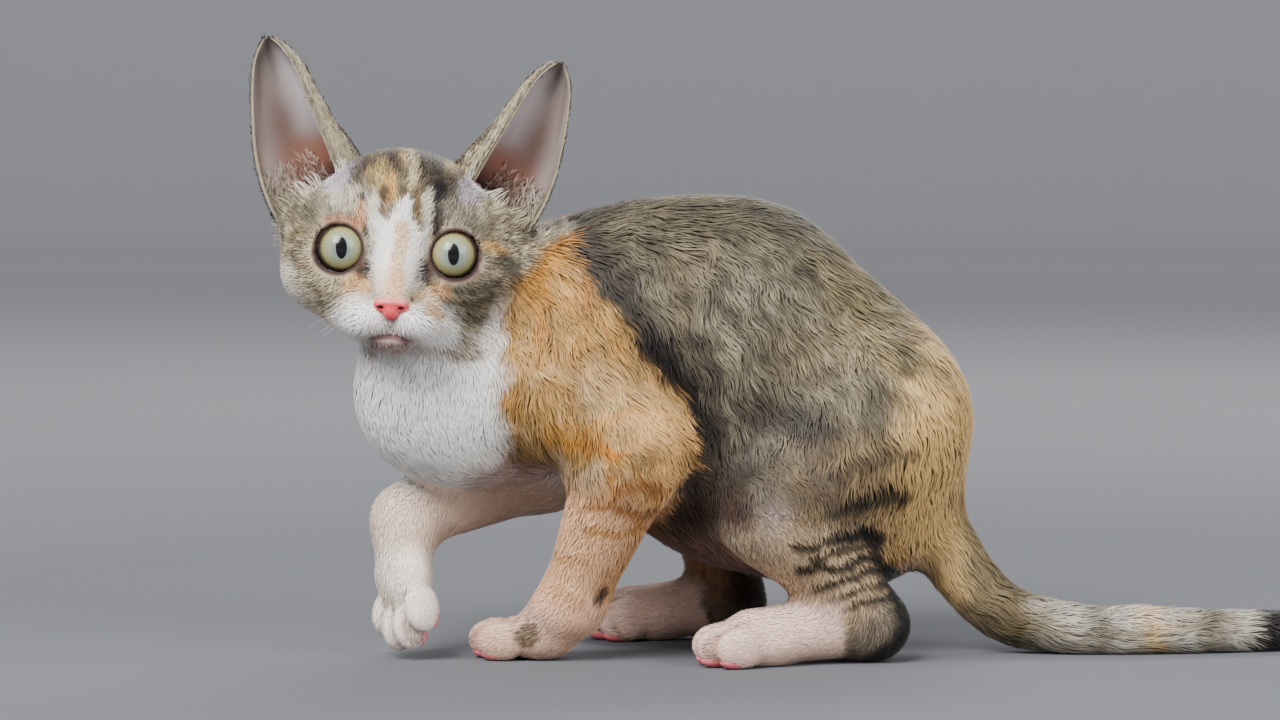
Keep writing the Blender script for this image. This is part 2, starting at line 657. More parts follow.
def body_colours(p):
    near_side = ramp(p[:, 1], 8, -4)
    flat = np.stack([p[:, 0] + 1.4 * noise(p, 7, 61), p[:, 2] + 1.4 * noise(p, 7, 62)], 1)
    streaks = noise(p * (1, 1, 0.35) + 0.3 * p[:, [2]], 3.6, 1)
    broad = noise(p, 16, 4)
    colours = np.tile(linear(TICKED), (len(p), 1))
    light = blot(p, (58, -40, 108), (34, 60, 30), 0.5, 0.2, 14)
    colours = mixed(colours, 0.2 + 0.35 * streaks + 0.2 * light, PALE)
    colours = mixed(colours, 0.6 * ramp(p[:, 2], 128, 146) * ramp(p[:, 0], 70, 30), "4F4630")
    colours = mixed(colours, 0.3 * ramp(broad, 0, 0.9), "8A7650")
    colours = mixed(colours, 0.6 * ramp(streaks, 0.1, -0.7), SHADE)
    colours = mixed(colours, 0.45 * blot(p, (78, 0, 112), (26, 46, 26), 0.5), "8A7850")
    thigh = blot(np.stack([p[:, 0], np.abs(p[:, 1]), p[:, 2]], 1), (64, 48, 46), (24, 26, 32))
    colours = mixed(colours, 0.65 * thigh, "A4875F")
    rump = blot(p, (106, 0, 70), (25, 60, 48), 0.4, 0.3)
    colours = mixed(colours, 0.95 * rump, "E8C084")
    colours = mixed(colours, 0.5 * rump * ramp(streaks, -0.3, 0.7), "DDB26C")
    for width, strength, code, line in SIDE_STROKES:
        colours = mixed(colours, strength * stroke(flat, line, width), code)

    belly = ramp(p[:, 2], 48, 38) * near_bones(p, [(-30, 0, 50), (60, 0, 36)], 34)
    groin = blot(p, (42, -30, 42), (15, 24, 16), 0.35, 0.2)
    under = ramp(p[:, 2], 66, 52) * blot(p, (24, -30, 50), (16, 30, 16), 0.3)
    colours = mixed(colours, 0.9 * under, "46352B")
    colours = mixed(colours, np.maximum(0.8 * belly, 0.25 * groin), BARE)
    colours = mixed(colours, 0.5 * stroke(flat, [(43, 50), (44, 41)], 10, 0.5) * near_side, "BFA8A0")
    colours = mixed(colours, 0.9 * blot(p, (84, -30, 33), (7, 22, 9), 0.4), "CFA466")

    back_edge = stroke(flat, [(81, 29), (85, 21), (86.5, 14), (85, 7), (77, 1)], 7.5, 0.25)
    hock = blot(p, (75, -30, 8), (14, 22, 13), 0.25)
    shank = near_bones(p, LEG["hind_left"][1:3], 24) * ramp(p[:, 2], 50, 40)
    colours = mixed(colours, 0.6 * shank * ramp(p[:, 0], 76, 62), "D9BE9C")
    hock *= ramp(p[:, 0] + 1.5 * streaks, 66, 68.5)
    colours = mixed(colours, 0.9 * hock, "7D6F5F")
    colours = mixed(colours, 0.7 * hock * ramp(streaks, 0, 0.5), "453B32")
    pale = stroke(flat, [(52, 36), (68, 37), (66, 24)], 18, 0.4) * near_side
    colours = mixed(colours, 0.75 * pale, "E0C096")
    for width, strength, code, line in SIDE_STROKES[-THIGH_BARS:]:
        colours = mixed(colours, strength * stroke(flat, line, width) * near_side, code)
    colours = mixed(colours, 0.95 * back_edge * near_side, BLACK)
    far = blot(p, (30, 36, 34), (24, 18, 24), 0.25)
    colours = mixed(colours, 0.9 * far, "B5875B")
    colours = mixed(colours, 0.9 * blot(p, (38, 34, 22), (11, 18, 20), 0.3), "332B25")
    for name, start in (("hind_left", 68), ("hind_right", 24)):
        foot_part = near_bones(p, LEG[name][2:], 22) * ramp(p[:, 0] + 2 * streaks, start, start - 4)
        colours = mixed(colours, foot_part * ramp(p[:, 2], 24, 18), "EFCBB9")

    lower = near_bones(p, LEG["fore_left"][1:], 26)
    before = np.interp(p[:, 2], [z for _, z in ARM_EDGE[::-1]], [x for x, _ in ARM_EDGE[::-1]])
    shoulder = ramp(p[:, 0] + 2.5 * noise(p, 4, 71), before + 3, before - 3)
    shoulder *= np.maximum(ramp(p[:, 2], 62, 72), lower * ramp(p[:, 2], 80, 66)) * near_side
    colours = mixed(colours, shoulder, "B0864C")
    colours = mixed(colours, 0.45 * shoulder * ramp(streaks, 0, 0.8), ORANGE)
    colours = mixed(colours, 0.45 * shoulder * ramp(streaks, -0.2, -0.9), "C9AA7A")
    colours = mixed(colours, 0.95 * shoulder * lower * ramp(p[:, 2], 70, 48), PEACH)
    colours = mixed(colours, shoulder * lower * ramp(p[:, 2], 34, 14), "FFC8A4")
    for width, strength, code, line in ARM_STROKES:
        colours = mixed(colours, strength * stroke(flat, line, width) * shoulder, code)
    colours = mixed(colours, 0.95 * stroke(flat, [(-11, 24), (-14, 20)], 3) * near_side, "463A33")

    chest = np.maximum(
        blot(p, (-76, -34, 88), (35, 44, 52), 0.12, 0.1), near_bones(p, LEG["fore_right"], 25)
    )
    chest = np.maximum(chest, blot(p, (-62, -12, 62), (34, 30, 16), 0.2))
    colours = mixed(colours, chest, WHITE)
    colours = mixed(colours, 0.6 * blot(p, (-40, -22, 60), (20, 26, 8)), BARE)
    colours = mixed(colours, near_bones(p, LEG["fore_right"][1:], 22) * ramp(p[:, 2], 66, 50), "FFDDC6")
    for name in ("fore_left", "fore_right"):
        origin, axes = PAW[name]
        q = (p - origin) @ axes
        white = ramp(q[:, 0], -6, 3) * (1 - ramp(feet[name](p), 4, 8))
        colours = mixed(colours, white, "E2B8A2" if name == "fore_left" else "FFEBDD")
    for origin, axes in PAW.values():
        q = (p - origin) @ axes
        between = q[:, 1] - TOE_PITCH * np.round(q[:, 1] / TOE_PITCH)
        cleft = np.exp(-((between / 0.6) ** 2)) * ramp(q[:, 0], 11, 17) * (np.abs(q[:, 1]) < 9)
        colours = mixed(colours, 0.6 * cleft * (q[:, 2] < 15), "9A7466")
    spot = blot(p, (-37, -31, 9), (4.6, 6, 4.6), 0.2, 0.06)
    colours = mixed(colours, 0.95 * spot, "6F5C49")

    on_tail = ramp(p[:, 0], 100, 112) * ramp(p[:, 2], 62, 50)
    rings = noise(p * (0.4, 1, 1), 5, 9)
    colours = mixed(colours, on_tail, "837353")
    colours = mixed(colours, 0.8 * on_tail * ramp(rings, 0, 0.6), "6E614A")
    colours = mixed(colours, 0.85 * ramp(p[:, 0], 122, 140) * (0.7 + 0.5 * rings), "D3CEC4")
    colours = mixed(colours, 0.4 * on_tail * np.exp(-(((p[:, 0] - 136) / 16) ** 2)), "7D715C")
    for x, width, code in ((122, 5, BROWN), (150, 4, BROWN), (167, 4, "D9B27A"), (187, 5, BROWN)):
        ring = np.exp(-(((p[:, 0] - x + 3 * rings) / width) ** 2)) * on_tail
        colours = mixed(colours, 0.7 * ring, code)
    return mixed(colours, ramp(p[:, 0] + 5 * rings, 198, 206), "26221F")


# Brush strokes of the face: width, strength, colour, places across and up from its middle
UMBER = "5A4D3C"
FACE_STROKES = [
    (26, 0.85, "463B2D", [(-16, 30), (16, 31)]),
    (20, 0.8, "66583F", [(-14, 19), (16, 20)]),
    (10, 0.6, "C8BDA4", [(-22, 9), (-14, 11)]),
    (9, 0.7, "C9C0CC", [(-21, 16), (-18, 21)]),
    (9, 0.6, "C9C0CC", [(21, 14), (24, 19)]),
    (7, 0.7, "A88B5E", [(17, 23), (20, 24)]),
    (8, 0.85, "4E4233", [(-15, 25), (-12.5, 18)]),
    (5, 0.8, "4E4233", [(17, 20), (16, 12)]),
    (9, 0.75, "B0945F", [(-6, 18), (-3, 12)]),
    (4, 0.7, "C08F48", [(-3.6, 17), (-2.6, 12)]),
    (5, 0.7, "B5925C", [(-1, 28), (0, 24)]),
    (5, 0.9, "3A3027", [(-3, 26), (-1.5, 21)]),
    (1.6, 0.7, "6B5A44", [(0.8, 20), (0.8, 12)]),
    (4.4, 0.8, "CFBE96", [(3.2, 25), (3.4, 17)]),
    (8, 0.9, "362D24", [(7, 26), (10, 20), (12, 14)]),
    (3.4, 0.95, BLACK, [(12, 16), (13, 9.5), (12.6, 4.6), (12, 1)]),
    (3, 0.95, BLACK, [(-11.8, 10.4), (-11.6, 9.4)]),
    (2.8, 0.85, "7A5C33", [(-4.2, 12), (-4.4, 5)]),
    (2, 0.75, "8A7350", [(5.8, 11), (6, 3)]),
    (5, 0.85, "DDD3C0", [(-8, 10), (-8, 3)]),
    (4.4, 0.85, "D8CEBC", [(9, 12), (9, 4)]),
    (4, 1, WHITE, [(1.6, 9), (1, 4)]),
    (12, 1, WHITE, [(-1.5, 1), (-1, -8), (-1, -16)]),
    (11, 0.95, WHITE, [(3, -2), (2, -14)]),
    (2.4, 0.95, "5E4526", [(-4.2, 14), (-4.6, 6)]),
    (1.6, 0.7, "8A7350", [(-2.2, 9), (-3.4, 4)]),
    (2, 0.85, "705A38", [(5, 14), (5.8, 8), (6.4, 2)]),
    (3.2, 0.95, BLACK, [(12.2, 15), (11.8, 9), (11.2, 4.5)]),
    (2, 0.7, "6B5A44", [(-8.4, 15), (-9, 11)]),
    (2, 0.7, "4E4233", [(2, 22), (1.2, 17), (1, 12)]),
    (5, 0.85, "E3B98C", [(1.4, 1), (1, -10), (0.5, -19)]),
    (10, 0.7, "E6B58C", [(0, -16), (0, -20)]),
    (4, 0.7, "D9A27C", [(-12, 7), (-12, 3)]),
    (2.6, 0.7, "C98A6A", [(-22, 2.6), (-17.5, 4), (-12, 1.8)]),
    (9, 0.7, "857B6B", [(17, 8), (23, 5)]),
    (7, 0.6, TICKED, [(-31, 5), (-26, 8)]),
    (3, 0.8, "6B5A3E", [(-29, -0.5), (-32, -1.2), (-35, -3.5)]),
    (3.4, 0.75, "BE8C4C", [(28, -2), (33, -4)]),
    (5, 0.9, "3B332B", [(33.5, -6.5), (37, -9), (39, -13)]),
    (3, 0.7, UMBER, [(-33, -8), (-31, -12), (-27, -15)]),
    (3, 0.75, "7D6A48", [(-29, -11.5), (-22, -15), (-16, -17)]),
    (12, 0.85, "BFB093", [(-25, -18), (-19, -20)]),
    (2, 0.6, UMBER, [(-27, -18), (-22, -20.5), (-16, -21)]),
    (2, 0.6, UMBER, [(-23, -23), (-17, -24)]),
    (17, 0.9, "7C705C", [(24, -17), (31, -18)]),
    (2.6, 0.8, "453C32", [(17, -17), (24, -17), (32, -14)]),
    (2.6, 0.8, "453C32", [(17, -20.5), (25, -21), (33, -18)]),
    (2.4, 0.7, "453C32", [(20, -24), (28, -25.5), (33, -23.5)]),
    (9, 0.8, "E9DFD0", [(-36, -16), (-31, -27), (-24, -32)]),
    (9, 0.85, "EDE4D8", [(37, -22), (30, -32)]),
    (6, 0.6, "DDBB98", [(-23, -29), (-20, -32)]),
    (4.4, 0.9, "46302A", [(-9.9, -11.5), (-10.6, -13.4)]),
    (5, 0.95, "3C2C26", [(9.8, -10), (9.6, -14)]),
    (6, 0.8, "D9A766", [(-13, -17), (-9, -18)]),
    (6, 0.5, "E6C49E", [(-14, -22), (-10, -23)]),
    (4.4, 0.65, "BD8850", [(13, -17), (15.5, -17.5)]),
    (5, 0.7, "E2B98A", [(8.5, -20), (12, -22)]),
    (14, 1, WHITE, [(-12, -29), (-5, -31), (6, -31), (14, -30)]),
    (5, 0.7, WHITE, [(-10, -24.5), (-7, -25)]),
    (3.6, 0.75, "CE9A55", [(12, -24), (14.5, -25)]),
    (11, 0.9, "B9A59E", [(-5, -38), (5, -38)]),
    (3.6, 0.95, "7E665F", [(-4.5, -35.2), (4.5, -35.2)]),
]


def head_colours(p):
    q = (p - HEAD[0]) @ HEAD_AXES
    flecks = noise(q * (1, 1, 0.6), 1.8, 12)
    colours = np.tile(linear("857860"), (len(p), 1))
    colours = mixed(colours, 0.3 + 0.8 * flecks, "C6B899")
    colours = mixed(colours, 0.75 * ramp(noise(q * (1, 1, 0.5), 2.2, 13), 0.1, 0.7), SHADE)
    front = ramp(q[:, 1] - 0.6 * np.maximum(q[:, 2] - 10, 0), 6, -5)
    flat = np.stack([q[:, 0] + 0.7 * noise(q, 3, 14), q[:, 2] + 0.7 * noise(q, 3, 15)], 1)
    flat[:, 1] += 0.06 * (q[:, 1] + 18)
    for width, strength, code, line in FACE_STROKES:
        colours = mixed(colours, strength * front * stroke(flat, line, width, 0.3), code)
    colours = mixed(colours, 0.5 * ramp(q[:, 2], -34, -37) * ramp(q[:, 1], -5, -14), "B7A39B")
    ticks = noise(q * (1, 1, 0.6), 1.5, 16)[:, None]
    colours = colours * (1 + 0.45 * ticks * np.interp(colours.mean(1), (0.1, 0.5), (1, 0.1))[:, None])
    for side in (-1, 1):
        at_ear = (1 - ramp(ear_pit(q, side), 1.5, 3.5)) * ramp(np.abs(q[:, 0]), 35, 29)
        colours = mixed(colours, 0.75 * at_ear, "D8CFC3")
        rim, around, ahead, _ = lid_ring(side)(q)
        ring = (1 - ramp(around - LID_RING, 0.6, 1.6)) * ramp(ahead, 0, 2)
        colours = mixed(colours, 0.9 * ring, "5E4238")
        colours = mixed(colours, 0.95 * (1 - ramp(around - LID_RING, 0.3, 0.9)) * (ahead > 0), "36231E")
    lips = np.minimum(mouth_line(q), philtrum(q))
    middle = ramp(np.abs(q[:, 0]), 10, 5)
    colours = mixed(colours, 0.45 * (1 - ramp(lips, 0.4, 2.2)) * middle, "B39D97")
    return mixed(colours, 0.9 * (1 - ramp(lips, 0, 0.35)) * middle, "7A5250")


def coat_colours(p):
    on_head = 1 - ramp(in_head(p) + 2 * noise(p, 8, 4), -3, 3)
    colours = body_colours(p) * (1 - on_head[:, None]) + head_colours(p) * on_head[:, None]
    return colours * (0.9 + 0.1 * ramp(colours.mean(1), 0.45, 0.8))[:, None]


eye_low, eye_high = (np.array(corner) * 1000 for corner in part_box("eye_left"))
left_eye = HEAD[0] + HEAD_AXES @ (EYE["x"], EYE["y"], EYE["z"])
SHIFT = (eye_low + eye_high) / 2 - left_eye


def made(name, points, faces, colours=None, sheet=None, normals=None):
    """A mesh object from millimetres, equal-sided faces, point colours and a layout by point."""
    faces = np.asarray(faces)
    mesh = bpy.data.meshes.new(name)
    mesh.vertices.add(len(points))
    mesh.vertices.foreach_set("co", ((points + SHIFT) / 1000).astype(np.float32).ravel())
    mesh.loops.add(faces.size)
    mesh.loops.foreach_set("vertex_index", faces.astype(np.int32).ravel())
    mesh.polygons.add(len(faces))
    starts = np.arange(0, faces.size, faces.shape[1], dtype=np.int32)
    mesh.polygons.foreach_set("loop_start", starts)
    mesh.polygons.foreach_set("use_smooth", np.ones(len(faces), bool))
    mesh.update(calc_edges=True)
    if normals is not None:
        mesh.normals_split_custom_set_from_vertices(normals.astype(np.float32))
    if colours is not None:
        layer = mesh.attributes.new("Coat", "FLOAT_COLOR", "POINT")
        filled = np.ones((len(points), 4), np.float32)
        filled[:, :3] = colours
        layer.data.foreach_set("color", filled.ravel())
    if sheet is not None:
        layout = mesh.uv_layers.new(name="OFBake")
        layout.data.foreach_set("uv", sheet[faces.ravel()].astype(np.float32).ravel())
    made_object = bpy.data.objects.new(name, mesh)
    bpy.context.scene.collection.objects.link(made_object)
    return made_object


def node(tree, kind, links=None, **settings):
    """Adds a shader or geometry node, with its settings, its sockets' values and its links."""
    added = tree.nodes.new(kind)
    for key, value in settings.items():
        setattr(added, key, value)
    for key, value in (links or {}).items():
        if isinstance(value, bpy.types.NodeSocket):
            tree.links.new(value, added.inputs[key])
        else:
            added.inputs[key].default_value = value
    return added


def bare_material(name):
    material = bpy.data.materials.new(name)
    material.use_nodes = True
    material.node_tree.nodes.clear()
    return material, material.node_tree


def toned(tree, pattern, darkest, lightest):
    """The markings, made darker and lighter by a pattern."""
    colour = node(tree, "ShaderNodeAttribute", attribute_name="Coat").outputs["Color"]
    span = {"From Min": 0.3, "From Max": 0.7, "To Min": darkest, "To Max": lightest}
    tone = node(tree, "ShaderNodeMapRange", {"Value": pattern, **span})
    sockets = {"Factor": 1.0, 6: colour, 7: tone.outputs["Result"]}
    mix = node(tree, "ShaderNodeMix", sockets, data_type="RGBA", blend_type="MULTIPLY")
    return mix.outputs[2]


def skin_material():
    # Living hide seen between short hairs: matt, soft, with fine pores and the lie of the hair
    material, tree = bare_material("thin_haired_hide")
    place = node(tree, "ShaderNodeTexCoord").outputs["Object"]
    fleck = node(tree, "ShaderNodeTexNoise", {"Vector": place, "Scale": 900, "Detail": 4})
    hairs = node(tree, "ShaderNodeTexNoise", {"Vector": place, "Scale": 1600, "Detail": 3})
    relief = {"Strength": 0.5, "Distance": 0.0004, "Height": hairs.outputs["Fac"]}
    hide = node(
        tree,
        "ShaderNodeBsdfPrincipled",
        {
            "Base Color": toned(tree, fleck.outputs["Fac"], 0.8, 1.1),
            "Roughness": 0.72,
            "Specular IOR Level": 0.3,
            "Sheen Weight": 0.15,
            "Sheen Roughness": 0.5,
            "Normal": node(tree, "ShaderNodeBump", relief).outputs["Normal"],
        },
    )
    node(tree, "ShaderNodeOutputMaterial", {"Surface": hide.outputs["BSDF"]})
    return material


PIT_BROWN, SKIN_LIGHTER = "3E2019", 1.04
starts = np.cumsum([0] + [len(points) for points, _ in shells])
skin_points = np.vstack([points for points, _ in shells])
skin_faces = np.vstack([faces + start for (_, faces), start in zip(shells, starts)])
skin_tint = coat_colours(skin_points) * SKIN_LIGHTER
for side in (-1, 1):
    pit = ear_pit((skin_points - HEAD[0]) @ HEAD_AXES, side)
    skin_tint = mixed(skin_tint, 1 - ramp(pit, 0.2, 1.2), PIT_BROWN)
skin = made("skin", skin_points, skin_faces, skin_tint)
skin.data.materials.append(skin_material())
parts_of_legs = ("foreleg", "forepaw", "hindleg", "hindpaw")
legs = [f"{part}_{side}" for part in parts_of_legs for side in ("left", "right")]
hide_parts("head", "neck", "torso", "tail", *legs)
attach(skin, "root")


# The ears: large thin cups of gristle under a fine hide, ticked with short hair behind, nearly
# bare and pink inside, and rooted in the scalp. Each is one closed shell that runs round its rim.
EAR_ROWS, EAR_COLUMNS = 72, 40


def ear_sheet(t, s, inset, side):
    """Points of an ear's wall at heights t and places s from the inner rim to the outer one."""
    a, b = flowing(INNER_RIM, t), flowing(OUTER_RIM, t)
    share, deep = cup(t, s, np.linalg.norm(b - a, axis=1), inset)
    q = a + (b - a) * share[:, None]
    q[:, 1] += deep
    if side > 0:
        q = (q - EAR_ROOT) * LEFT_EAR_SIZE
        c, k = math.cos(EAR_LEAN), math.sin(EAR_LEAN)
        q = np.stack([c * q[:, 0] + k * q[:, 2], q[:, 1], c * q[:, 2] - k * q[:, 0]], 1)
        q += EAR_ROOT
    else:
        q[:, 0] *= -1
    return HEAD[0] + q @ HEAD_AXES.T


def folds(t, s):
    """Height of the ridges, less the furrows, that run up the inside of an ear."""
    ridge = np.exp(-(((s - 0.36 - 0.12 * t) / 0.07) ** 2)) * ramp(t, 0.8, 0.45)
    furrow = np.exp(-(((s - 0.6 - 0.06 * t) / 0.08) ** 2)) * ramp(t, 0.75, 0.4)
    outer = np.exp(-(((s - 0.8) / 0.06) ** 2)) * ramp(t, 0.5, 0.3)
    return 1.5 * ridge - 0.5 * furrow + 0.9 * outer


def ear_colours(t, s, p, outside):
    flecks = noise(p, 1.6, 21)
    if outside:
        colours = np.tile(linear("85785F"), (len(p), 1))
        colours = mixed(colours, 0.4 + 0.5 * flecks, "AA9C7E")
        colours = mixed(colours, 0.7 * ramp(noise(p, 2.4, 22), 0.2, 0.9), "4C443A")
        colours = mixed(colours, 0.6 * ramp(t, 0.3, 0.05), "8A7A5C")
        return mixed(colours, ramp(t, 0.95, 0.985), "3A312B")
    colours = np.tile(linear("82736D"), (len(p), 1))
    streak = noise(np.stack([s * 22, t * 12, 0 * t], 1), 3, 23)
    light = np.exp(-(((s - 0.42) / 0.2) ** 2)) * ramp(t, 0.3, 0.5) * ramp(t, 0.95, 0.8)
    colours = mixed(colours, 0.75 * light, "A99EA0")
    colours = mixed(colours, 0.55 * ramp(streak, 0.1, 0.8) * ramp(t, 0.3, 0.6), "5F5046")
    shade = np.exp(-(((s - 0.6 - 0.06 * t) / 0.11) ** 2)) * ramp(t, 0.8, 0.5)
    colours = mixed(colours, 0.85 * shade, "5A4036")
    colours = mixed(colours, 0.85 * ramp(t, 0.5, 0.3) * np.exp(-(((s - 0.5) / 0.2) ** 2)), "84503C")
    colours = mixed(colours, ramp(t, 0.32, 0.14) * np.exp(-(((s - 0.42) / 0.26) ** 2)), "34120B")
    furry = np.maximum(ramp(s, 0.2, 0.08) * ramp(t, 0.85, 0.6), ramp(s, 0.6, 0.75) * ramp(t, 0.3, 0.16))
    furry = np.maximum(furry, 0.8 * ramp(s, 0.86, 0.95) * ramp(t, 0.6, 0.4))
    colours = mixed(colours, 0.9 * furry, "62563F")
    colours = mixed(colours, 0.6 * furry * ramp(flecks, 0, 0.6), "A09277")
    smudge = np.exp(-(((s - 0.86) / 0.12) ** 2)) * np.exp(-(((t - 0.84) / 0.07) ** 2))
    colours = mixed(colours, 0.7 * smudge, "4F473C")
    rim = np.maximum(0.5 * ramp(s, 0.03, 0), ramp(s, 0.97, 1))
    colours = mixed(colours, 0.6 * rim, "A99B82")
    return mixed(colours, 0.8 * ramp(t, 0.9, 0.97), "7E7262")


def bare_hide(name, kind, grain, relief, gloss, colour=None):
    """Bare skin in its point colours or in one, with a fine grain that stands a little proud."""
    material, tree = bare_material(name)
    place = node(tree, "ShaderNodeTexCoord").outputs["Object"]
    if colour is None:
        colour = node(tree, "ShaderNodeAttribute", attribute_name="Coat").outputs["Color"]
    pattern = node(tree, kind, {"Vector": place, **grain}).outputs[0]
    bump = node(tree, "ShaderNodeBump", {"Height": pattern, **relief})
    sockets = {"Base Color": colour, "Normal": bump.outputs["Normal"], **gloss}
    hide = node(tree, "ShaderNodeBsdfPrincipled", sockets)
    node(tree, "ShaderNodeOutputMaterial", {"Surface": hide.outputs["BSDF"]})
    return material


# Gristle under thin hide: faintly waxy, soft, with fine veins and hair roots
ear_hide = bare_hide(
    "ear_hide",
    "ShaderNodeTexNoise",
    {"Scale": 1400, "Detail": 3},
    {"Strength": 0.35, "Distance": 0.0003},
    {"Roughness": 0.6, "Specular IOR Level": 0.35, "Sheen Weight": 0.2},
)
for side, name in ((1, "ear_left"), (-1, "ear_right")):
    t, s = np.meshgrid(
        np.linspace(0, 1, EAR_ROWS) ** 0.9 * 0.995, np.linspace(0, 1, EAR_COLUMNS), indexing="ij"
    )
    t, s = t.ravel(), s.ravel()
    outer = ear_sheet(t, s, EAR_PILE * (1 - 0.6 * t), side)
    inner = ear_sheet(t, s, EAR_PILE + EAR_WALL * (1 - 0.5 * t) + folds(t, s), side)
    inner[t < 0.02] = outer[t < 0.02] * 0.5 + inner[t < 0.02] * 0.5
    colours = np.vstack([ear_colours(t, s, outer, True), ear_colours(t, s, inner, False)])
    index = np.arange(EAR_ROWS * EAR_COLUMNS).reshape(EAR_ROWS, EAR_COLUMNS)
    cells = np.stack([index[:-1, :-1], index[:-1, 1:], index[1:, 1:], index[1:, :-1]], -1)
    cells = cells.reshape(-1, 4)
    back = len(t)
    edge = np.concatenate([index[:-1, 0], index[-1, :-1], index[:0:-1, -1], index[0, :0:-1]])
    after = np.roll(edge, -1)
    rim = np.stack([edge, after, after + back, edge + back], 1)
    faces = np.vstack([cells[:, ::-1], cells + back, rim])
    if side < 0:
        faces = faces[:, ::-1]
    ear = made(name + "_hide", np.vstack([outer, inner]), faces, colours)
    ear.data.materials.append(ear_hide)
    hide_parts(name)
    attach(ear, "root")


# The eyes: wet glassy balls with a pale yellow-green iris, bluish round a slit pupil, under a
# bulging clear front. Each ball turns in its lids towards what the kitten looks at.
GAZE = np.array((0.052, -0.998, 0.034))
CORNEA_SWELL, SLIT_WIDE, SLIT_TALL = 0.9, 1.8, 3.5
EYE_RINGS, EYE_TURNS = 72, 72


def eye_material():
    # A living eye: coloured iris fibres under a clear, wet, highly polished front
    material, tree = bare_material("wet_iris")
    spot = node(tree, "ShaderNodeAttribute", attribute_name="Gaze").outputs["Vector"]
    parts = node(tree, "ShaderNodeSeparateXYZ", {"Vector": spot})
    across, up = parts.outputs["X"], parts.outputs["Y"]
    flat = node(tree, "ShaderNodeCombineXYZ", {"X": across, "Y": up})
    radius = node(tree, "ShaderNodeVectorMath", {0: flat.outputs[0]}, operation="LENGTH")
    turn = node(tree, "ShaderNodeMath", {0: up, 1: across}, operation="ARCTAN2")
    # fibres run outwards: the pattern is close round the iris and drawn out from its middle
    round_it = node(tree, "ShaderNodeMath", {0: turn.outputs[0], 1: 5.0}, operation="MULTIPLY")
    outwards = node(
        tree, "ShaderNodeMath", {0: radius.outputs["Value"], 1: 0.35}, operation="MULTIPLY"
    )
    fibre_place = node(
        tree, "ShaderNodeCombineXYZ", {"X": round_it.outputs[0], "Y": outwards.outputs[0]}
    )
    fibres = node(
        tree, "ShaderNodeTexNoise", {"Vector": fibre_place.outputs[0], "Scale": 3.0, "Detail": 4}
    )
    sockets = {0: fibres.outputs["Fac"], 1: 1.1, 2: radius.outputs["Value"]}
    wander = node(tree, "ShaderNodeMath", sockets, operation="MULTIPLY_ADD")
    share = node(tree, "ShaderNodeMath", {0: wander.outputs[0], 1: 9.0}, operation="DIVIDE")
    iris = node(tree, "ShaderNodeValToRGB", {"Fac": share.outputs[0]})
    stops = [
        (0.0, "4F5D62"),
        (0.32, "74827F"),
        (0.46, "8C9481"),
        (0.62, "94946C"),
        (0.74, "8A8559"),
        (0.81, "4A3E28"),
        (0.87, "1E1510"),
    ]
    ramp_stops = iris.color_ramp.elements
    while len(ramp_stops) < len(stops):
        ramp_stops.new(0.5)
    for stop, (place, code) in zip(ramp_stops, stops):
        stop.position = place
        stop.color = (*linear(code), 1)
    across_slit = {0: flat.outputs[0], 1: (1 / SLIT_WIDE, 1 / SLIT_TALL, 0)}
    slit = node(tree, "ShaderNodeVectorMath", across_slit, operation="MULTIPLY")
    slit_far = node(tree, "ShaderNodeVectorMath", {0: slit.outputs[0]}, operation="LENGTH")
    edge = {"Value": slit_far.outputs["Value"], "From Min": 0.94, "From Max": 1.06}
    pupil = node(tree, "ShaderNodeMapRange", edge)
    black = (0.004, 0.004, 0.005, 1)
    sockets = {"Factor": pupil.outputs["Result"], 6: black, 7: iris.outputs["Color"]}
    colour = node(tree, "ShaderNodeMix", sockets, data_type="RGBA")
    eye = node(
        tree,
        "ShaderNodeBsdfPrincipled",
        {
            "Base Color": colour.outputs[2],
            "Roughness": 0.35,
            "Specular IOR Level": 0.1,
            "Coat Weight": 1.0,
            "Coat Roughness": 0.02,
            "Coat IOR": 1.36,
        },
    )
    node(tree, "ShaderNodeOutputMaterial", {"Surface": eye.outputs["BSDF"]})
    return material


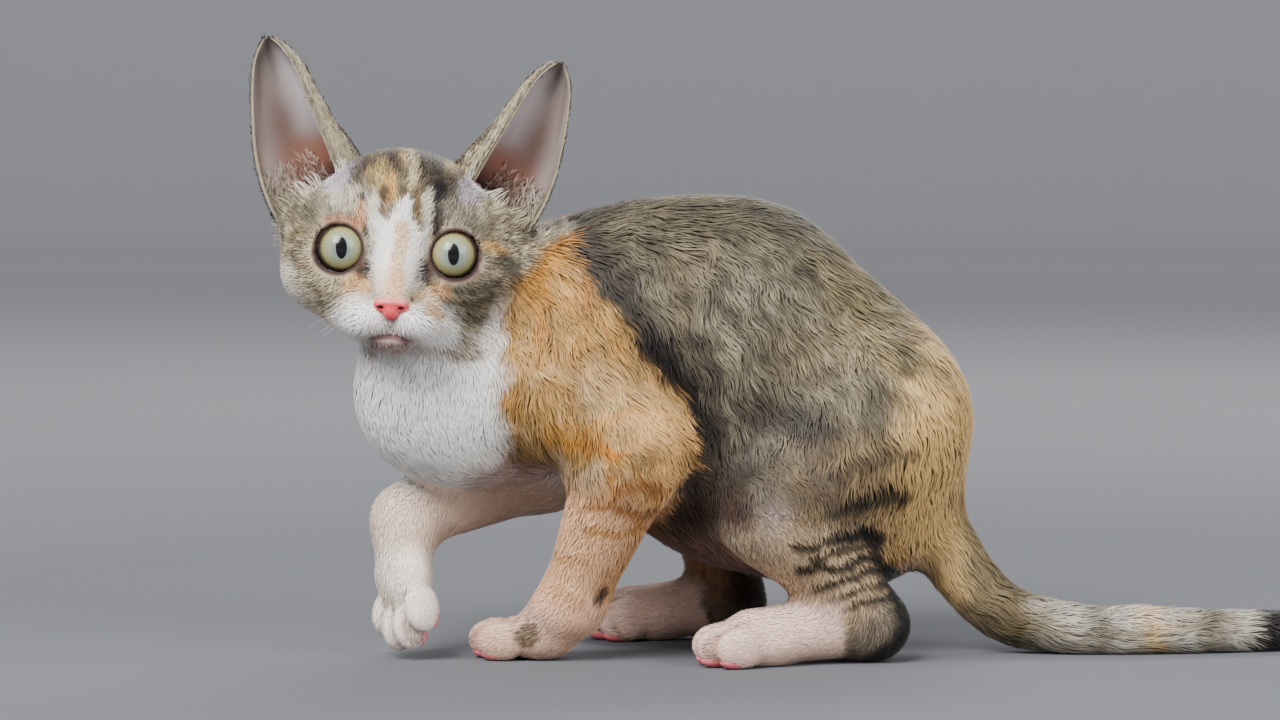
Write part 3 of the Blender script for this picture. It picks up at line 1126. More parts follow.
wet_iris = eye_material()
way = GAZE / np.linalg.norm(GAZE)
right = np.cross((0, 0, 1), -way)
right /= np.linalg.norm(right)
above = np.cross(-way, right)
for side, name in ((1, "eye_left"), (-1, "eye_right")):
    lean, turn = np.meshgrid(
        np.linspace(0, math.pi, EYE_RINGS + 1)[1:-1],
        np.linspace(0, 2 * math.pi, EYE_TURNS, endpoint=False),
        indexing="ij",
    )
    lean, turn = np.append(lean.ravel(), (0, math.pi)), np.append(turn.ravel(), (0, 0))
    radius = EYE["radius"] - 0.15 + CORNEA_SWELL * np.exp(-((lean / 0.62) ** 2.5))
    x = radius * np.sin(lean) * np.cos(turn)
    z = radius * np.sin(lean) * np.sin(turn)
    y = radius * np.cos(lean)
    centre = HEAD[0] + HEAD_AXES @ (side * EYE["x"], EYE["y"], EYE["z"])
    points = centre + x[:, None] * right + z[:, None] * above + y[:, None] * way
    index = np.arange((EYE_RINGS - 1) * EYE_TURNS).reshape(EYE_RINGS - 1, EYE_TURNS)
    following = np.roll(index, -1, 1)
    quads = np.stack([index[:-1], index[1:], following[1:], following[:-1]], -1).reshape(-1, 4)
    pole = index.size
    front = [(a, b, pole) for a, b in zip(index[0], following[0])]
    rear = [(b, a, pole + 1) for a, b in zip(index[-1], following[-1])]
    triangles = np.vstack([quads[:, :3], quads[:, [0, 2, 3]], front, rear])
    ball = made(name + "_ball", points, triangles)
    gaze = ball.data.attributes.new("Gaze", "FLOAT_VECTOR", "POINT")
    spread = np.stack([x, z, y], 1)
    spread[y < 0, :2] *= 3
    gaze.data.foreach_set("vector", spread.astype(np.float32).ravel())
    ball.data.materials.append(wet_iris)
    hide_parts(name)
    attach(ball, "root")


# The nose leather: a small pink pad, pebbled and faintly damp, with a nostril that curls out to
# each side and a groove down its middle to the lip.
NOSE_CELL = 0.35
nose_form = smooth(
    1.4,
    egg((0, -39.3, -20.9), (4.6, 3, 1.6)),
    *both(3.3, -39, -21.7, (2.3, 2.7, 2.1)),
    egg((0, -39.5, -23.6), (2.4, 2.9, 2.9)),
)
nostrils = smooth(
    0.4,
    *both(3.1, -41.6, -22.6, (0.8, 1.5, 0.45)),
    limb((3.1, -41.5, -22.6), (5, -40.2, -21.9), 0.33, 0.15),
    limb((-3.1, -41.5, -22.6), (-5, -40.2, -21.9), 0.33, 0.15),
)
nose_groove = limb((0, -42.6, -22.5), (0, -42.1, -28), 0.35, 0.35)


def nose_field(q):
    d = nose_form(q)
    for cut in (nostrils(q), nose_groove(q)):
        near = np.maximum(0.5 - np.abs(d + cut), 0) / 0.5
        d = np.maximum(d, -cut) + near * near * 0.125
    return d


nose_points, nose_faces = surfaced(nose_field, (-8, -44, -29.5), (8, -34, -16), NOSE_CELL)
tint = np.tile(linear("DC3F4B"), (len(nose_points), 1))
tint = mixed(tint, ramp(nose_points[:, 2], -22, -19.8), "E08A80")
tint = mixed(tint, 1 - ramp(nostrils(nose_points), 0, 0.3), "7E1F28")
nose = made("nose_leather", HEAD[0] + nose_points @ HEAD_AXES.T, nose_faces, tint)
# Nose leather: bare, pebbled, slightly damp skin, redder within the nostrils
nose_leather = bare_hide(
    "nose_leather",
    "ShaderNodeTexVoronoi",
    {"Scale": 2200},
    {"Strength": 0.4, "Distance": 0.0002},
    {"Roughness": 0.45, "Coat Weight": 0.15, "Coat Roughness": 0.3},
)
nose.data.materials.append(nose_leather)
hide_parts("nose")
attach(nose, "root")


# The coat: short, fine, wavy hair in soft locks. Each tuft is a thin three-sided blade that
# starts in the skin, bends in shallow waves and lies along the body towards the tail and down
# the legs. Tufts lean together into locks, and are smallest on the face and the feet.
COMB = [  # places on the near side and along the back, and the way that the hair lies there
    ((-20, -5, 140), (1, 0, 0.1)),
    ((10, 0, 151), (1, 0, -0.05)),
    ((45, 0, 150), (1, 0, -0.3)),
    ((80, 0, 125), (0.8, 0, -0.8)),
    ((105, 0, 88), (0.3, 0, -1)),
    ((106, 0, 58), (0.3, 0, -1)),
    ((0, -38, 125), (0.6, -0.2, -0.8)),
    ((30, -40, 118), (0.5, -0.2, -0.9)),
    ((60, -36, 110), (0.5, -0.2, -0.9)),
    ((88, -30, 92), (0.45, 0, -1)),
    ((5, -45, 95), (0.4, 0, -1)),
    ((35, -42, 88), (0.45, 0, -0.9)),
    ((65, -45, 78), (0.15, -0.1, -1)),
    ((10, -40, 65), (0.6, 0.1, -0.7)),
    ((40, -40, 55), (0.6, 0.2, -0.6)),
    ((0, -15, 50), (1, 0, 0)),
    ((40, -12, 42), (1, 0, 0)),
    ((95, -35, 72), (0.2, 0.1, -1)),
    ((95, -25, 45), (0.5, 0.3, -1)),
    ((60, -50, 60), (0.1, -0.1, -1)),
    ((-40, -42, 125), (0.5, -0.1, -0.9)),
    ((-25, -52, 105), (0.35, -0.1, -1)),
    ((-10, -55, 85), (0.2, 0, -1)),
    ((-45, -50, 85), (0.1, -0.1, -1)),
    ((-75, -50, 100), (-0.05, -0.2, -1)),
    ((-86, -36, 85), (0.15, 0, -1)),
    ((-72, -44, 68), (0.5, 0.1, -0.9)),
    ((-55, -28, 58), (1, 0, -0.4)),
]


def comb_strokes():
    places, ways = [], []
    for place, way in COMB:
        for flip in (1, -1) if place[1] else (1,):
            places.append((place[0], place[1] * flip, place[2]))
            ways.append((way[0], way[1] * flip, way[2]))
    for joints in LEG.values():
        for start, end in zip(joints[1:], joints[2:]):
            for share in (0.25, 0.6, 0.9):
                places.append(np.array(start) * (1 - share) + np.array(end) * share)
                ways.append(np.array(end) - np.array(start))
    for origin, axes in PAW.values():
        for ahead in (6, 16, 26):
            places.append(origin + axes @ (ahead, 0, 7))
            ways.append(axes @ (1, 0, -0.15))
    for k in range(3, TAIL_JOINTS, 2):
        places.append(tail_path[k])
        ways.append(tail_path[k + 1] - tail_path[k])
    ways = np.array(ways, float)
    return np.array(places, float), ways / np.linalg.norm(ways, axis=1)[:, None]


comb_places, comb_ways = comb_strokes()
NOSE_TIP = np.array((0, -44, -17))


def lie_of_coat(p):
    """The way that the hair lies: combed on the body, and away from the nose on the head."""
    ways = np.empty((len(p), 3))
    for part in np.array_split(np.arange(len(p)), len(p) // 20000 + 1):
        far = ((p[part, None] - comb_places) ** 2).sum(2)
        ways[part] = (1 / (far + 60) ** 2) @ comb_ways
    ways /= np.linalg.norm(ways, axis=1)[:, None]
    q = (p - HEAD[0]) @ HEAD_AXES
    away = q - NOSE_TIP
    away[:, 2] += 0.25 * np.abs(away[:, 0]) * (q[:, 2] > -10)
    away /= np.linalg.norm(away, axis=1)[:, None]
    for side in (-1, 1):
        _, around, ahead, off = lid_ring(side)(q)
        near = 1.8 * np.exp(-(((around - 7.5) / 4.5) ** 2)) * (ahead > 0)
        away += (near / np.maximum(around, 1))[:, None] * off
    away /= np.linalg.norm(away, axis=1)[:, None]
    on_head = (1 - ramp(in_head(p), -6, 4))[:, None]
    ways = ways * (1 - on_head) + away @ HEAD_AXES.T * on_head
    return ways / np.linalg.norm(ways, axis=1)[:, None]


whole, whole_low, whole_cell = sampled(form, (-132, -76, -8), (276, 76, 182), 2.0)


def height_above(p):
    """Distance from the coat's outline, read between the points of a grid."""
    q = (p - whole_low) / whole_cell
    base = np.clip(np.floor(q).astype(int), 0, np.array(whole.shape) - 2)
    f = q - base
    total = np.zeros(len(p))
    for c in range(8):
        corner = np.array((c & 1, c >> 1 & 1, c >> 2))
        weight = np.where(corner, f, 1 - f).prod(1)
        total += weight * whole[tuple((base + corner).T)]
    return total


def outward(p):
    way = np.stack(
        [height_above(p + step) - height_above(p - step) for step in np.eye(3) * 0.9], 1
    )
    return way / np.maximum(np.linalg.norm(way, axis=1), 1e-6)[:, None]


def first_in_cubes(p, size):
    """Which of the points come first in their small cubes."""
    cube = np.floor(p / size).astype(np.int64) @ np.array((1, 4001, 16008001))
    return np.unique(cube, return_index=True)[1]


TRIES = 2.6  # places drawn for each that is kept, or nearly


def scattered(points, faces, spacing, draw):
    """Places on four-sided faces, spread evenly: at most one in each small cube."""
    a, b, c, d = (points[faces[:, k]].astype(float) for k in range(4))
    area = np.linalg.norm(np.cross(c - a, d - b), axis=1) / 2
    gap = spacing((a + c) / 2)
    wanted = draw.poisson(area / gap**2 * TRIES)
    at = np.repeat(np.arange(len(faces)), wanted)
    u, v = draw.random(len(at))[:, None], draw.random(len(at))[:, None]
    p = (a[at] * (1 - u) + b[at] * u) * (1 - v) + (d[at] * (1 - u) + c[at] * u) * v
    return p[np.sort(first_in_cubes(p, gap[at][:, None]))]


WAVE, CREST = 13, np.array((0.5, 0, -0.87))  # from wave to wave, and the way that they follow
LOCK_STEPS = (-7.5, -5, -2.5, 0, 2.5, 5, 7.5)


def waves_at(place):
    """The coat's waves: a turn to each side, and a rise and fall, that neighbours share."""
    run = place @ CREST * 2 * math.pi / WAVE + 3.4 * noise(place, 13, 31)
    strength = 0.75 + 0.5 * noise(place, 24, 33, 1)
    return strength * np.sin(run), strength * np.cos(run)


def locks_at(place, way):
    """The ridges and grooves of the locks, which run with the hair: noise drawn out along it."""
    total = 0
    for step in LOCK_STEPS:
        narrow = noise(place + step * way, 4.2, 35) / 4.2
        broad = noise(place + 1.5 * step * way, 9, 36, 1) / 5
        total = total + narrow + broad
    return total


ROOT_SUNK, MOST_LIFT, RIDGE = 0.3, 1.5, 0.8


def paths_of(roots, way, length, depth, rise, curl, rings, draw):
    """Lines that leave the skin, wave sideways and rise to their height over it."""
    ridge = locks_at(roots, way)
    wander = 0.35 * noise(roots, 9, 32) + 0.15 * draw.standard_normal(len(roots))
    step = length / (rings - 1)
    place = roots.copy()
    lines, normals = [roots - ROOT_SUNK * outward(roots)], []
    for k in range(1, rings):
        up = outward(place)
        normals.append(up)
        flat = way - (way * up).sum(1)[:, None] * up
        flat /= np.linalg.norm(flat, axis=1)[:, None]
        turn, _ = waves_at(place)
        bend = wander + curl * turn
        flat = flat * np.cos(bend)[:, None] + np.cross(up, flat) * np.sin(bend)[:, None]
        place = place + flat * step[:, None]
        share = k / (rings - 1)
        target = depth * (rise * share**0.7 - 1 + RIDGE * curl * ridge * share)
        place += np.clip(target - height_above(place), -MOST_LIFT, MOST_LIFT)[:, None] * up
        lines.append(place.copy())
    normals.append(normals[-1])
    return np.stack(lines, 1), np.stack(normals, 1)


def gathered(lines, share, pitch):
    """Leans each line's outer part towards the nearest leading line, so that locks form."""
    roots = lines[:, 0]
    leaders = first_in_cubes(roots, pitch)
    tree = KDTree(len(leaders))
    for number, leader in enumerate(leaders):
        tree.insert(roots[leader], number)
    tree.balance()
    found = [tree.find(root) for root in roots]
    leader = leaders[[number for _, number, _ in found]]
    far = np.array([distance for _, _, distance in found])
    along = np.linspace(0, 1, lines.shape[1])[None, :, None] ** 1.4
    pull = share * along * np.ones((len(lines), 1, 1))
    return lines * (1 - pull) + lines[leader] * pull, leader, far


ROUNDNESS = 0.35  # how far a tuft's sides seem to turn away: hairs scatter light along it


def blades(lines, normals, width):
    """Closed three-sided blades along lines, and the soft way that each corner faces."""
    count, rings = lines.shape[:2]
    ahead = np.gradient(lines, axis=1)
    aside = np.cross(normals, ahead)
    aside /= np.maximum(np.linalg.norm(aside, axis=2), 1e-6)[:, :, None]
    taper = np.interp(np.linspace(0, 1, rings), (0, 0.25, 0.6, 1), (0.7, 1, 0.85, 0.3))
    half = (width[:, None] * taper / 2)[:, :, None]
    corners = np.stack([lines - aside * half, lines + normals * half * 0.4, lines + aside * half], 2)
    body = corners[:, :-1].reshape(count, -1, 3)
    points = np.concatenate([body, lines[:, -1:]], 1)
    facing = np.stack([normals - aside * ROUNDNESS, normals, normals + aside * ROUNDNESS], 2)
    facing = np.concatenate([facing[:, :-1].reshape(count, -1, 3), normals[:, -1:]], 1)
    facing /= np.linalg.norm(facing, axis=2, keepdims=True)
    each = body.shape[1] + 1
    faces = [(0, 1, 2)]
    for ring in range(rings - 2):
        for k in range(3):
            a, b = ring * 3 + k, ring * 3 + (k + 1) % 3
            faces += [(a, a + 3, b + 3), (a, b + 3, b)]
    last = (rings - 2) * 3
    faces += [(last + k, each - 1, last + (k + 1) % 3) for k in range(3)]
    starts = np.arange(count)[:, None, None] * each
    return points, facing, (np.array(faces) + starts).reshape(-1, 3), each


def coat_material():
    # Fine wavy cat hair: soft and silky, streaked along each tuft as its hairs lie side by side
    material, tree = bare_material("wavy_hair")
    strand = node(tree, "ShaderNodeAttribute", attribute_name="Strand").outputs["Vector"]
    streaks = node(tree, "ShaderNodeTexNoise", {"Vector": strand, "Scale": 1.0, "Detail": 2})
    hair = node(
        tree,
        "ShaderNodeBsdfPrincipled",
        {
            "Base Color": toned(tree, streaks.outputs["Fac"], 0.78, 1.16),
            "Roughness": 0.55,
            "Specular IOR Level": 0.25,
            "Sheen Weight": 0.15,
            "Sheen Roughness": 0.4,
        },
    )
    node(tree, "ShaderNodeOutputMaterial", {"Surface": hair.outputs["BSDF"]})
    return material


wavy_hair = coat_material()
PATCH = 0.003  # a tuft's share of the layout's width
MOST_TRIANGLES = 190000
HAIRS_ACROSS = 3.2  # streaks over half of a tuft's width
TUFT_FLOOR = 0.3  # how far every tuft stays above the floor


def round_axis(joints):
    """A layout of the skin round an axis: how far along it, and how far round it."""
    joints = np.array(joints, float)
    steps = np.linalg.norm(np.diff(joints, axis=0), axis=1)
    before = np.concatenate([[0], np.cumsum(steps)])

    def layout(p):
        best = np.full(len(p), 1e9)
        along, turn = np.zeros(len(p)), np.zeros(len(p))
        for k, (start, end) in enumerate(zip(joints, joints[1:])):
            way = (end - start) / steps[k]
            aside = np.cross(way, (0.31, 0.12, 0.94))
            aside /= np.linalg.norm(aside)
            d = p - start
            t = d @ way
            off = np.linalg.norm(d - np.clip(t, 0, steps[k])[:, None] * way, axis=1)
            closer = off < best
            best[closer] = off[closer]
            along[closer] = (before[k] + t)[closer]
            angle = np.arctan2(d @ np.cross(way, aside), d @ aside)
            turn[closer] = angle[closer]
        span = max(along.max() - along.min(), 1)
        return np.stack([(along - along.min()) / span, turn / (2 * math.pi) + 0.5], 1)

    return layout


def grow(name, roots, axis, style, seed):
    """One or more pieces of coat from roots: their blades, colours and layout."""
    draw = np.random.default_rng(seed)
    depth = coat_depth(roots)
    rings = style["rings"]
    length = style["length"][0] + style["length"][1] * depth
    length *= draw.uniform(0.75, 1.2, len(roots))
    width = (style["width"][0] + style["width"][1] * depth) * draw.uniform(0.75, 1.25, len(roots))
    from_nose = np.linalg.norm((roots - HEAD[0]) @ HEAD_AXES - NOSE_TIP, axis=1)
    fine = np.interp(from_nose, (8, 30), (0.5, 1))
    length, width = length * fine, width * (0.4 + 0.6 * fine)
    rise = draw.uniform(*style["lift"], len(roots))
    stray = draw.random(len(roots)) < style["strays"]
    rise[stray] = draw.uniform(1.1, 1.5, stray.sum())
    way = lie_of_coat(roots)
    colours = coat_colours(roots + way * length[:, None] * 0.35)
    width *= 1 + 0.4 * ramp(colours.mean(1), 0.4, 0.8)
    lines, normals = paths_of(roots, way, length, depth, rise, style["curl"], rings, draw)
    lines, leader, far = gathered(lines, style["locks"], style["pitch"])
    lines[:, :, 2] = np.maximum(lines[:, :, 2], TUFT_FLOOR)
    points, facing, faces, each = blades(lines, normals, width)
    locks = 0.1 * draw.standard_normal(len(roots))[leader]
    shade = locks + style["ticks"] * draw.standard_normal(len(roots))
    shade = shade - 0.2 * (far / style["pitch"]) ** 2 + 0.05
    ticked = np.interp(colours.mean(1), (0.06, 0.25, 0.6), (0.9, 1.0, 0.15))
    colours = colours * np.clip(1 + shade * ticked, 0.5, 1.5)[:, None]
    along = np.append(np.repeat(np.linspace(0, 1, rings)[:-1], 3), 1)
    swell = waves_at(lines[:, :-1].reshape(-1, 3))[1].reshape(len(roots), -1).repeat(3, 1)
    ripple = 0.3 * np.hstack([swell, swell[:, -1:]]) + 0.8 * locks_at(roots, way)[:, None]
    ripple *= style["curl"]
    tone = 1 + ticked[:, None] * (0.4 * along - 0.24) + (0.12 + 0.95 * ticked[:, None] ** 2) * ripple
    by_point = np.clip(colours[:, None] * tone[:, :, None], 0, 0.95)
    layout = 0.01 + 0.98 * np.clip(round_axis(axis)(roots), 0, 1)
    across = np.append(np.tile((-1, 0, 1), rings - 1), 0)
    spread = np.stack([along - 0.5, across / 2], 1)
    sheet = layout[:, None] + spread * PATCH
    strand = np.empty((len(roots), each, 3), np.float32)
    strand[:, :, 0] = across * HAIRS_ACROSS
    strand[:, :, 1] = along * length[:, None] / 5
    strand[:, :, 2] = np.arange(len(roots))[:, None] * 1.7
    per_tuft = len(faces) // len(roots)
    order = np.argsort(layout[:, 0], kind="stable")
    parts = np.array_split(order, math.ceil(len(roots) * per_tuft / MOST_TRIANGLES))
    faces = faces.reshape(len(roots), per_tuft, 3) - np.arange(len(roots))[:, None, None] * each
    for number, part in enumerate(parts, 1):
        piece_faces = faces[part] + np.arange(len(part))[:, None, None] * each
        piece = made(
            f"coat_{name}_{number}",
            points[part].reshape(-1, 3),
            piece_faces.reshape(-1, 3),
            by_point[part].reshape(-1, 3),
            sheet[part].reshape(-1, 2),
            normals=facing[part].reshape(-1, 3),
        )
        hairs = piece.data.attributes.new("Strand", "FLOAT_VECTOR", "POINT")
        hairs.data.foreach_set("vector", strand[part].ravel())
        piece.data.materials.append(wavy_hair)
        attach(piece, "root")


# Long wavy hair for the trunk and tail, and short sleek hair for the rest. Length and width are
# each a least size and what the coat's depth adds, and lift is how high a tip rises in it.
LONG = {
    "length": (2.5, 3.7),
    "width": (0.25, 0.17),
    "rings": 4,
    "lift": (0.8, 1.02),
    "strays": 0.07,
    "curl": 0.36,
    "locks": 0.2,
    "pitch": 4.5,
    "ticks": 0.12,
}
SHORT = {
    "length": (1.5, 1.7),
    "width": (0.2, 0.22),
    "rings": 3,
    "lift": (0.8, 1.02),
    "strays": 0,
    "curl": 0.1,
    "locks": 0.15,
    "pitch": 3,
    "ticks": 0.34,
}
FRINGE = {**SHORT, "length": (4.5, 1), "width": (0.22, 0.1), "rings": 4, "curl": 0.5, "lift": (2, 4.5)}
ON_FEET = {**SHORT, "length": (1.4, 1.4), "width": (0.3, 0.1)}
SLEEK_BELOW = {"fore_left": 56, "fore_right": 58, "hind_left": 54, "hind_right": 44}
FINE_SPACING = 0.8


def fine_spacing(p):
    return np.full(len(p), FINE_SPACING)


draw = np.random.default_rng(7)
on_body = scattered(*shells[0], lambda p: 0.57 + 0.345 * coat_depth(p), draw)
clear_of = np.min([in_head(on_body)] + [region(on_body) for region in in_foot.values()], axis=0)
on_body = on_body[(clear_of > 0) & (on_body[:, 2] > 0.8)]
on_tail = (tail(on_body) < 3) & (on_body[:, 0] > 100)
bones = {name: near_bones(on_body, LEG[name][1:], 24 if "fore" in name else 26) for name in LEG}
taken = on_tail.copy()
grow("tail", on_body[on_tail], TAIL_LINE, {**LONG, "length": (3.0, 3.6)}, 11)
for number, name in enumerate(LEG):
    here = (bones[name] > 0.5) & (on_body[:, 2] < SLEEK_BELOW[name]) & ~taken
    grow(name + "_leg", on_body[here], LEG[name], SHORT, 20 + number)
    taken |= here
grow("trunk", on_body[~taken], [(-110, -30, 92), (0, -4, 88), (112, 0, 70)], LONG, 31)
for number, (name, (points, faces)) in enumerate(zip(PAW, shells[2:])):
    on_foot = scattered(points, faces, fine_spacing, draw)
    on_foot = on_foot[(in_foot[name](on_foot) < 0) & (on_foot[:, 2] > 1.2)]
    origin, axes = PAW[name]
    axis = [origin + axes @ (-12, 0, 7), origin + axes @ (32, 0, 7)]
    grow(name + "_foot", on_foot, axis, ON_FEET, 40 + number)
on_head = scattered(*shells[1], fine_spacing, draw)
q = (on_head - HEAD[0]) @ HEAD_AXES
eye_gap = np.min([lid_ring(side)(q)[1] for side in (-1, 1)], axis=0)
clear = (in_head(on_head) < 0) & (eye_gap > LID_RING + 0.6) & (nose_form(q) > 0.3)
clear &= np.minimum(mouth_line(q), philtrum(q)) > 0.25
clear &= nose_form(q - (0, 0, 1)) > 0.1
for rise in (0.7, 1.3):
    clear &= (mouth_line(q - (0, 0, rise)) > 0) | (np.abs(q[:, 0]) > 8)
pit_gap = np.min([ear_pit(q, side) for side in (-1, 1)], axis=0)
clear &= pit_gap > 0.5
clear &= np.min([lobe(q) for lobe in EAR_LOBES], axis=0) > 1
face_axis = [HEAD[0] + HEAD_AXES @ (0, -44, -10), HEAD[0] + HEAD_AXES @ (0, 40, 0)]
grow("head", on_head[clear], face_axis, SHORT, 51)
grow("ear_fringe", on_head[clear & (pit_gap < 2.4) & (q[:, 1] < 2)], face_axis, FRINGE, 52)


# The ears' fur: very short hair on the backs and along both rims of the cups, rooted in their
# hide and combed towards the tips, where a few dark hairs stand past the edge.
BACK_HAIRS, LINING_HAIRS, EAR_ROOT_SUNK = 3400, 1500, 0.15


def on_ear(t, s, inset, side, outwards):
    """Places on an ear's wall, the way up it, and the way out of it."""
    roots = ear_sheet(t, s, inset, side)
    way = ear_sheet(t + 0.02, s, inset, side) - ear_sheet(t - 0.02, s, inset, side)
    way /= np.linalg.norm(way, axis=1)[:, None]
    step = 0.6 * outwards
    out = ear_sheet(t, s, inset - step, side) - ear_sheet(t, s, inset + step, side)
    out /= np.maximum(np.linalg.norm(out, axis=1), 1e-6)[:, None]
    return roots, way, out


def ear_fur(side, draw):
    t, s = draw.uniform(0.02, 0.98, BACK_HAIRS), draw.uniform(0, 1, BACK_HAIRS)
    keep = draw.random(len(t)) < 1.05 - 0.85 * t
    t, s = t[keep], s[keep]
    on_rim = draw.random(len(t)) < 0.16
    s[on_rim] = np.where(draw.random(on_rim.sum()) < 0.5, 0.02, 0.98)
    roots, way, out = on_ear(t, s, EAR_PILE * (1 - 0.6 * t), side, 1)
    length = draw.uniform(1.6, 2.6, len(t)) + 1.2 * (t > 0.975)
    way += 0.16 * draw.standard_normal(way.shape) + 0.2 * out * on_rim[:, None]
    rise = (draw.uniform(0.2, 0.5, len(t)) * (1 - 0.5 * t))[:, None] * out
    middle = roots + way * length[:, None] / 2 + rise * 0.8
    lines = np.stack([roots - EAR_ROOT_SUNK * out, middle, roots + way * length[:, None] + rise], 1)
    colours = ear_colours(t, s, roots, True)
    edge = ramp(np.abs(s - 0.5), 0.36, 0.46) * ramp(t, 0.95, 0.9)
    backs = lines, np.repeat(out[:, None], 3, 1), mixed(colours, 0.9 * edge, "CFC0A2")

    # The lining: longer, softer hair low in the cup and along its inner rim
    count = LINING_HAIRS
    low = draw.random(count) < 0.62
    t = np.where(low, draw.uniform(0.02, 0.3, count), draw.uniform(0.05, 0.8, count))
    s = np.where(low, draw.uniform(0.52, 0.97, count), 0.03 + 0.15 * draw.random(count) ** 2)
    inset = EAR_PILE + EAR_WALL * (1 - 0.5 * t) + folds(t, s)
    roots, way, out = on_ear(t, s, inset, side, -1)
    way += 0.3 * draw.standard_normal(way.shape)
    reach = np.where(low, draw.uniform(2, 3.6, count), draw.uniform(1.2, 2, count))[:, None]
    middle, tip = roots + way * reach / 2 + 0.5 * out, roots + way * reach + 0.8 * out
    lines = np.stack([roots - EAR_ROOT_SUNK * out, middle, tip], 1)
    colours = mixed(ear_colours(t, s, roots, False), 0.35 * draw.random(count), "C9BFB0")
    lining = lines, np.repeat(out[:, None], 3, 1), colours
    return [np.concatenate(pair) for pair in zip(backs, lining)]


draw = np.random.default_rng(61)
for side, name in ((1, "left"), (-1, "right")):
    lines, normals, colours = ear_fur(side, draw)
    points, facing, faces, _ = blades(lines, normals, 0.5 + 0.25 * draw.random(len(lines)))
    colours = colours * np.clip(1 + 0.22 * draw.standard_normal(len(lines)), 0.5, 1.6)[:, None]
    along = np.append(np.repeat((0, 0.5), 3), 1)
    across = np.append(np.tile((-1, 0, 1), 2), 0)
    by_point = np.clip(colours[:, None] * (0.85 + 0.35 * along)[None, :, None], 0, 0.95)
    flat = (lines[:, 0] - HEAD[0]) @ HEAD_AXES
    layout = np.stack([0.5 + flat[:, 0] / 130, 0.1 + flat[:, 2] / 90], 1)
    layout[:, 0] += 0.2 * (flat[:, 1] > 3)
    sheet = np.clip(layout[:, None] + np.stack([along - 0.5, across / 2], 1) * PATCH, 0, 1)
    fur = made(
        f"ear_fur_{name}",
        points.reshape(-1, 3),
        faces,
        by_point.reshape(-1, 3),
        sheet.reshape(-1, 2),
        normals=facing.reshape(-1, 3),
    )
    tuft = 1.7 * np.arange(len(lines))[:, None]
    strand = np.stack(np.broadcast_arrays(across * HAIRS_ACROSS, along, tuft), -1)
    hairs = fur.data.attributes.new("Strand", "FLOAT_VECTOR", "POINT")
    hairs.data.foreach_set("vector", strand.astype(np.float32).ravel())
    fur.data.materials.append(wavy_hair)
    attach(fur, "root")


# The whiskers: short, crinkled, translucent white bristles, in rows on the lip pads and over the
# eyes. Each is a thin tapered shaft set in the skin, as short and kinked as the coat.
WHISKER_WIDTH = 0.26


def whiskers(draw):
    lines = []
    for side in (-1, 1):
        for row, k in np.ndindex(3, 5):
            place = np.array((side * (6 + 2.1 * k), -40 + 1.3 * k, -25.5 - 2 * row + 0.3 * k))
            way = np.array((side * (0.75 + 0.1 * k), -0.5 + 0.12 * k, -0.35 - 0.1 * row))
            lines.append((place, way, 6.5 + 1.4 * k))
        for k in range(4):
            place = np.array((side * (14 + 2.4 * k), -23 + 1.2 * k, 5.6 - 0.3 * k))
            lines.append((place, np.array((side * (0.2 + 0.12 * k), -0.4, 0.9)), 7))
    grown = []
    for place, way, length in lines:
        for _ in range(6):  # moved back or ahead until it meets the lip or brow
            place = place + np.array((0, -1, 0)) * muzzle(place[None])[0] * 0.8
        way = way / np.linalg.norm(way) + 0.12 * draw.standard_normal(3)
        aside = np.cross(way, (0, 0, 1))
        share = np.linspace(0, 1, 12)
        phase, length = draw.uniform(0, 6), length * draw.uniform(0.7, 1.1)
        shaft = place + np.outer(share * length - 1.2, way)
        shaft += np.outer(0.5 * share * np.sin(share * length * 1.1 + phase), aside)
        shaft[:, 2] -= 2.2 * share**2 * (place[2] < 0)
        grown.append(HEAD[0] + shaft @ HEAD_AXES.T)
    return np.array(grown)


whisker_material, tree = bare_material("whisker_keratin")
# Stiff clear-white keratin: smooth, with a dull gloss
shaft = node(
    tree,
    "ShaderNodeBsdfPrincipled",
    {"Base Color": (*linear("F1EDE6"), 1), "Roughness": 0.35, "Specular IOR Level": 0.4},
)
node(tree, "ShaderNodeOutputMaterial", {"Surface": shaft.outputs["BSDF"]})
shafts = whiskers(np.random.default_rng(71))
up = np.broadcast_to(np.array((0, 0, 1.0)), shafts.shape)
points, _, faces, _ = blades(shafts, up, np.full(len(shafts), WHISKER_WIDTH))
whisker_piece = made("whiskers", points.reshape(-1, 3), faces)
whisker_piece.data.materials.append(whisker_material)
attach(whisker_piece, "root")


# The toe pads: small bare pink cushions under the tips of the toes, and the larger pad behind
# them on the lifted foot, set in the skin.
PAD_CELL, PAD_FLOOR = 0.7, 0.05


def pads(name):
    reach = 25.2 if "fore" in name else 24.3
    spots = []
    for side in (-1.5, -0.5, 0.5, 1.5):
        back = 5 if abs(side) > 1 else 0
        spots.append(egg((reach - back, side * TOE_PITCH, 2.5), (5, 2.9, 2.4), side * 7))
    spots.append(egg((9.5, 0, 2.2), (5.5, 6, 2.1)))
    return placed(smooth(0.3, *spots), PAW[name])


# Bare pad skin: soft pink, finely grained, matt
pad_leather = bare_hide(
    "pad_leather",
    "ShaderNodeTexVoronoi",
    {"Scale": 2400},
    {"Strength": 0.3, "Distance": 0.0002},
    {"Roughness": 0.5},
    (*linear("E0727C"), 1),
)
for name, (origin, axes) in PAW.items():
    centre = origin + axes @ (18, 0, 3)
    points, faces = surfaced(pads(name), centre - 20, centre + 20, PAD_CELL)
    points[:, 2] = np.maximum(points[:, 2], PAD_FLOOR)
    pad = made("pads_" + name, points, faces)
    pad.data.materials.append(pad_leather)
    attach(pad, "root")


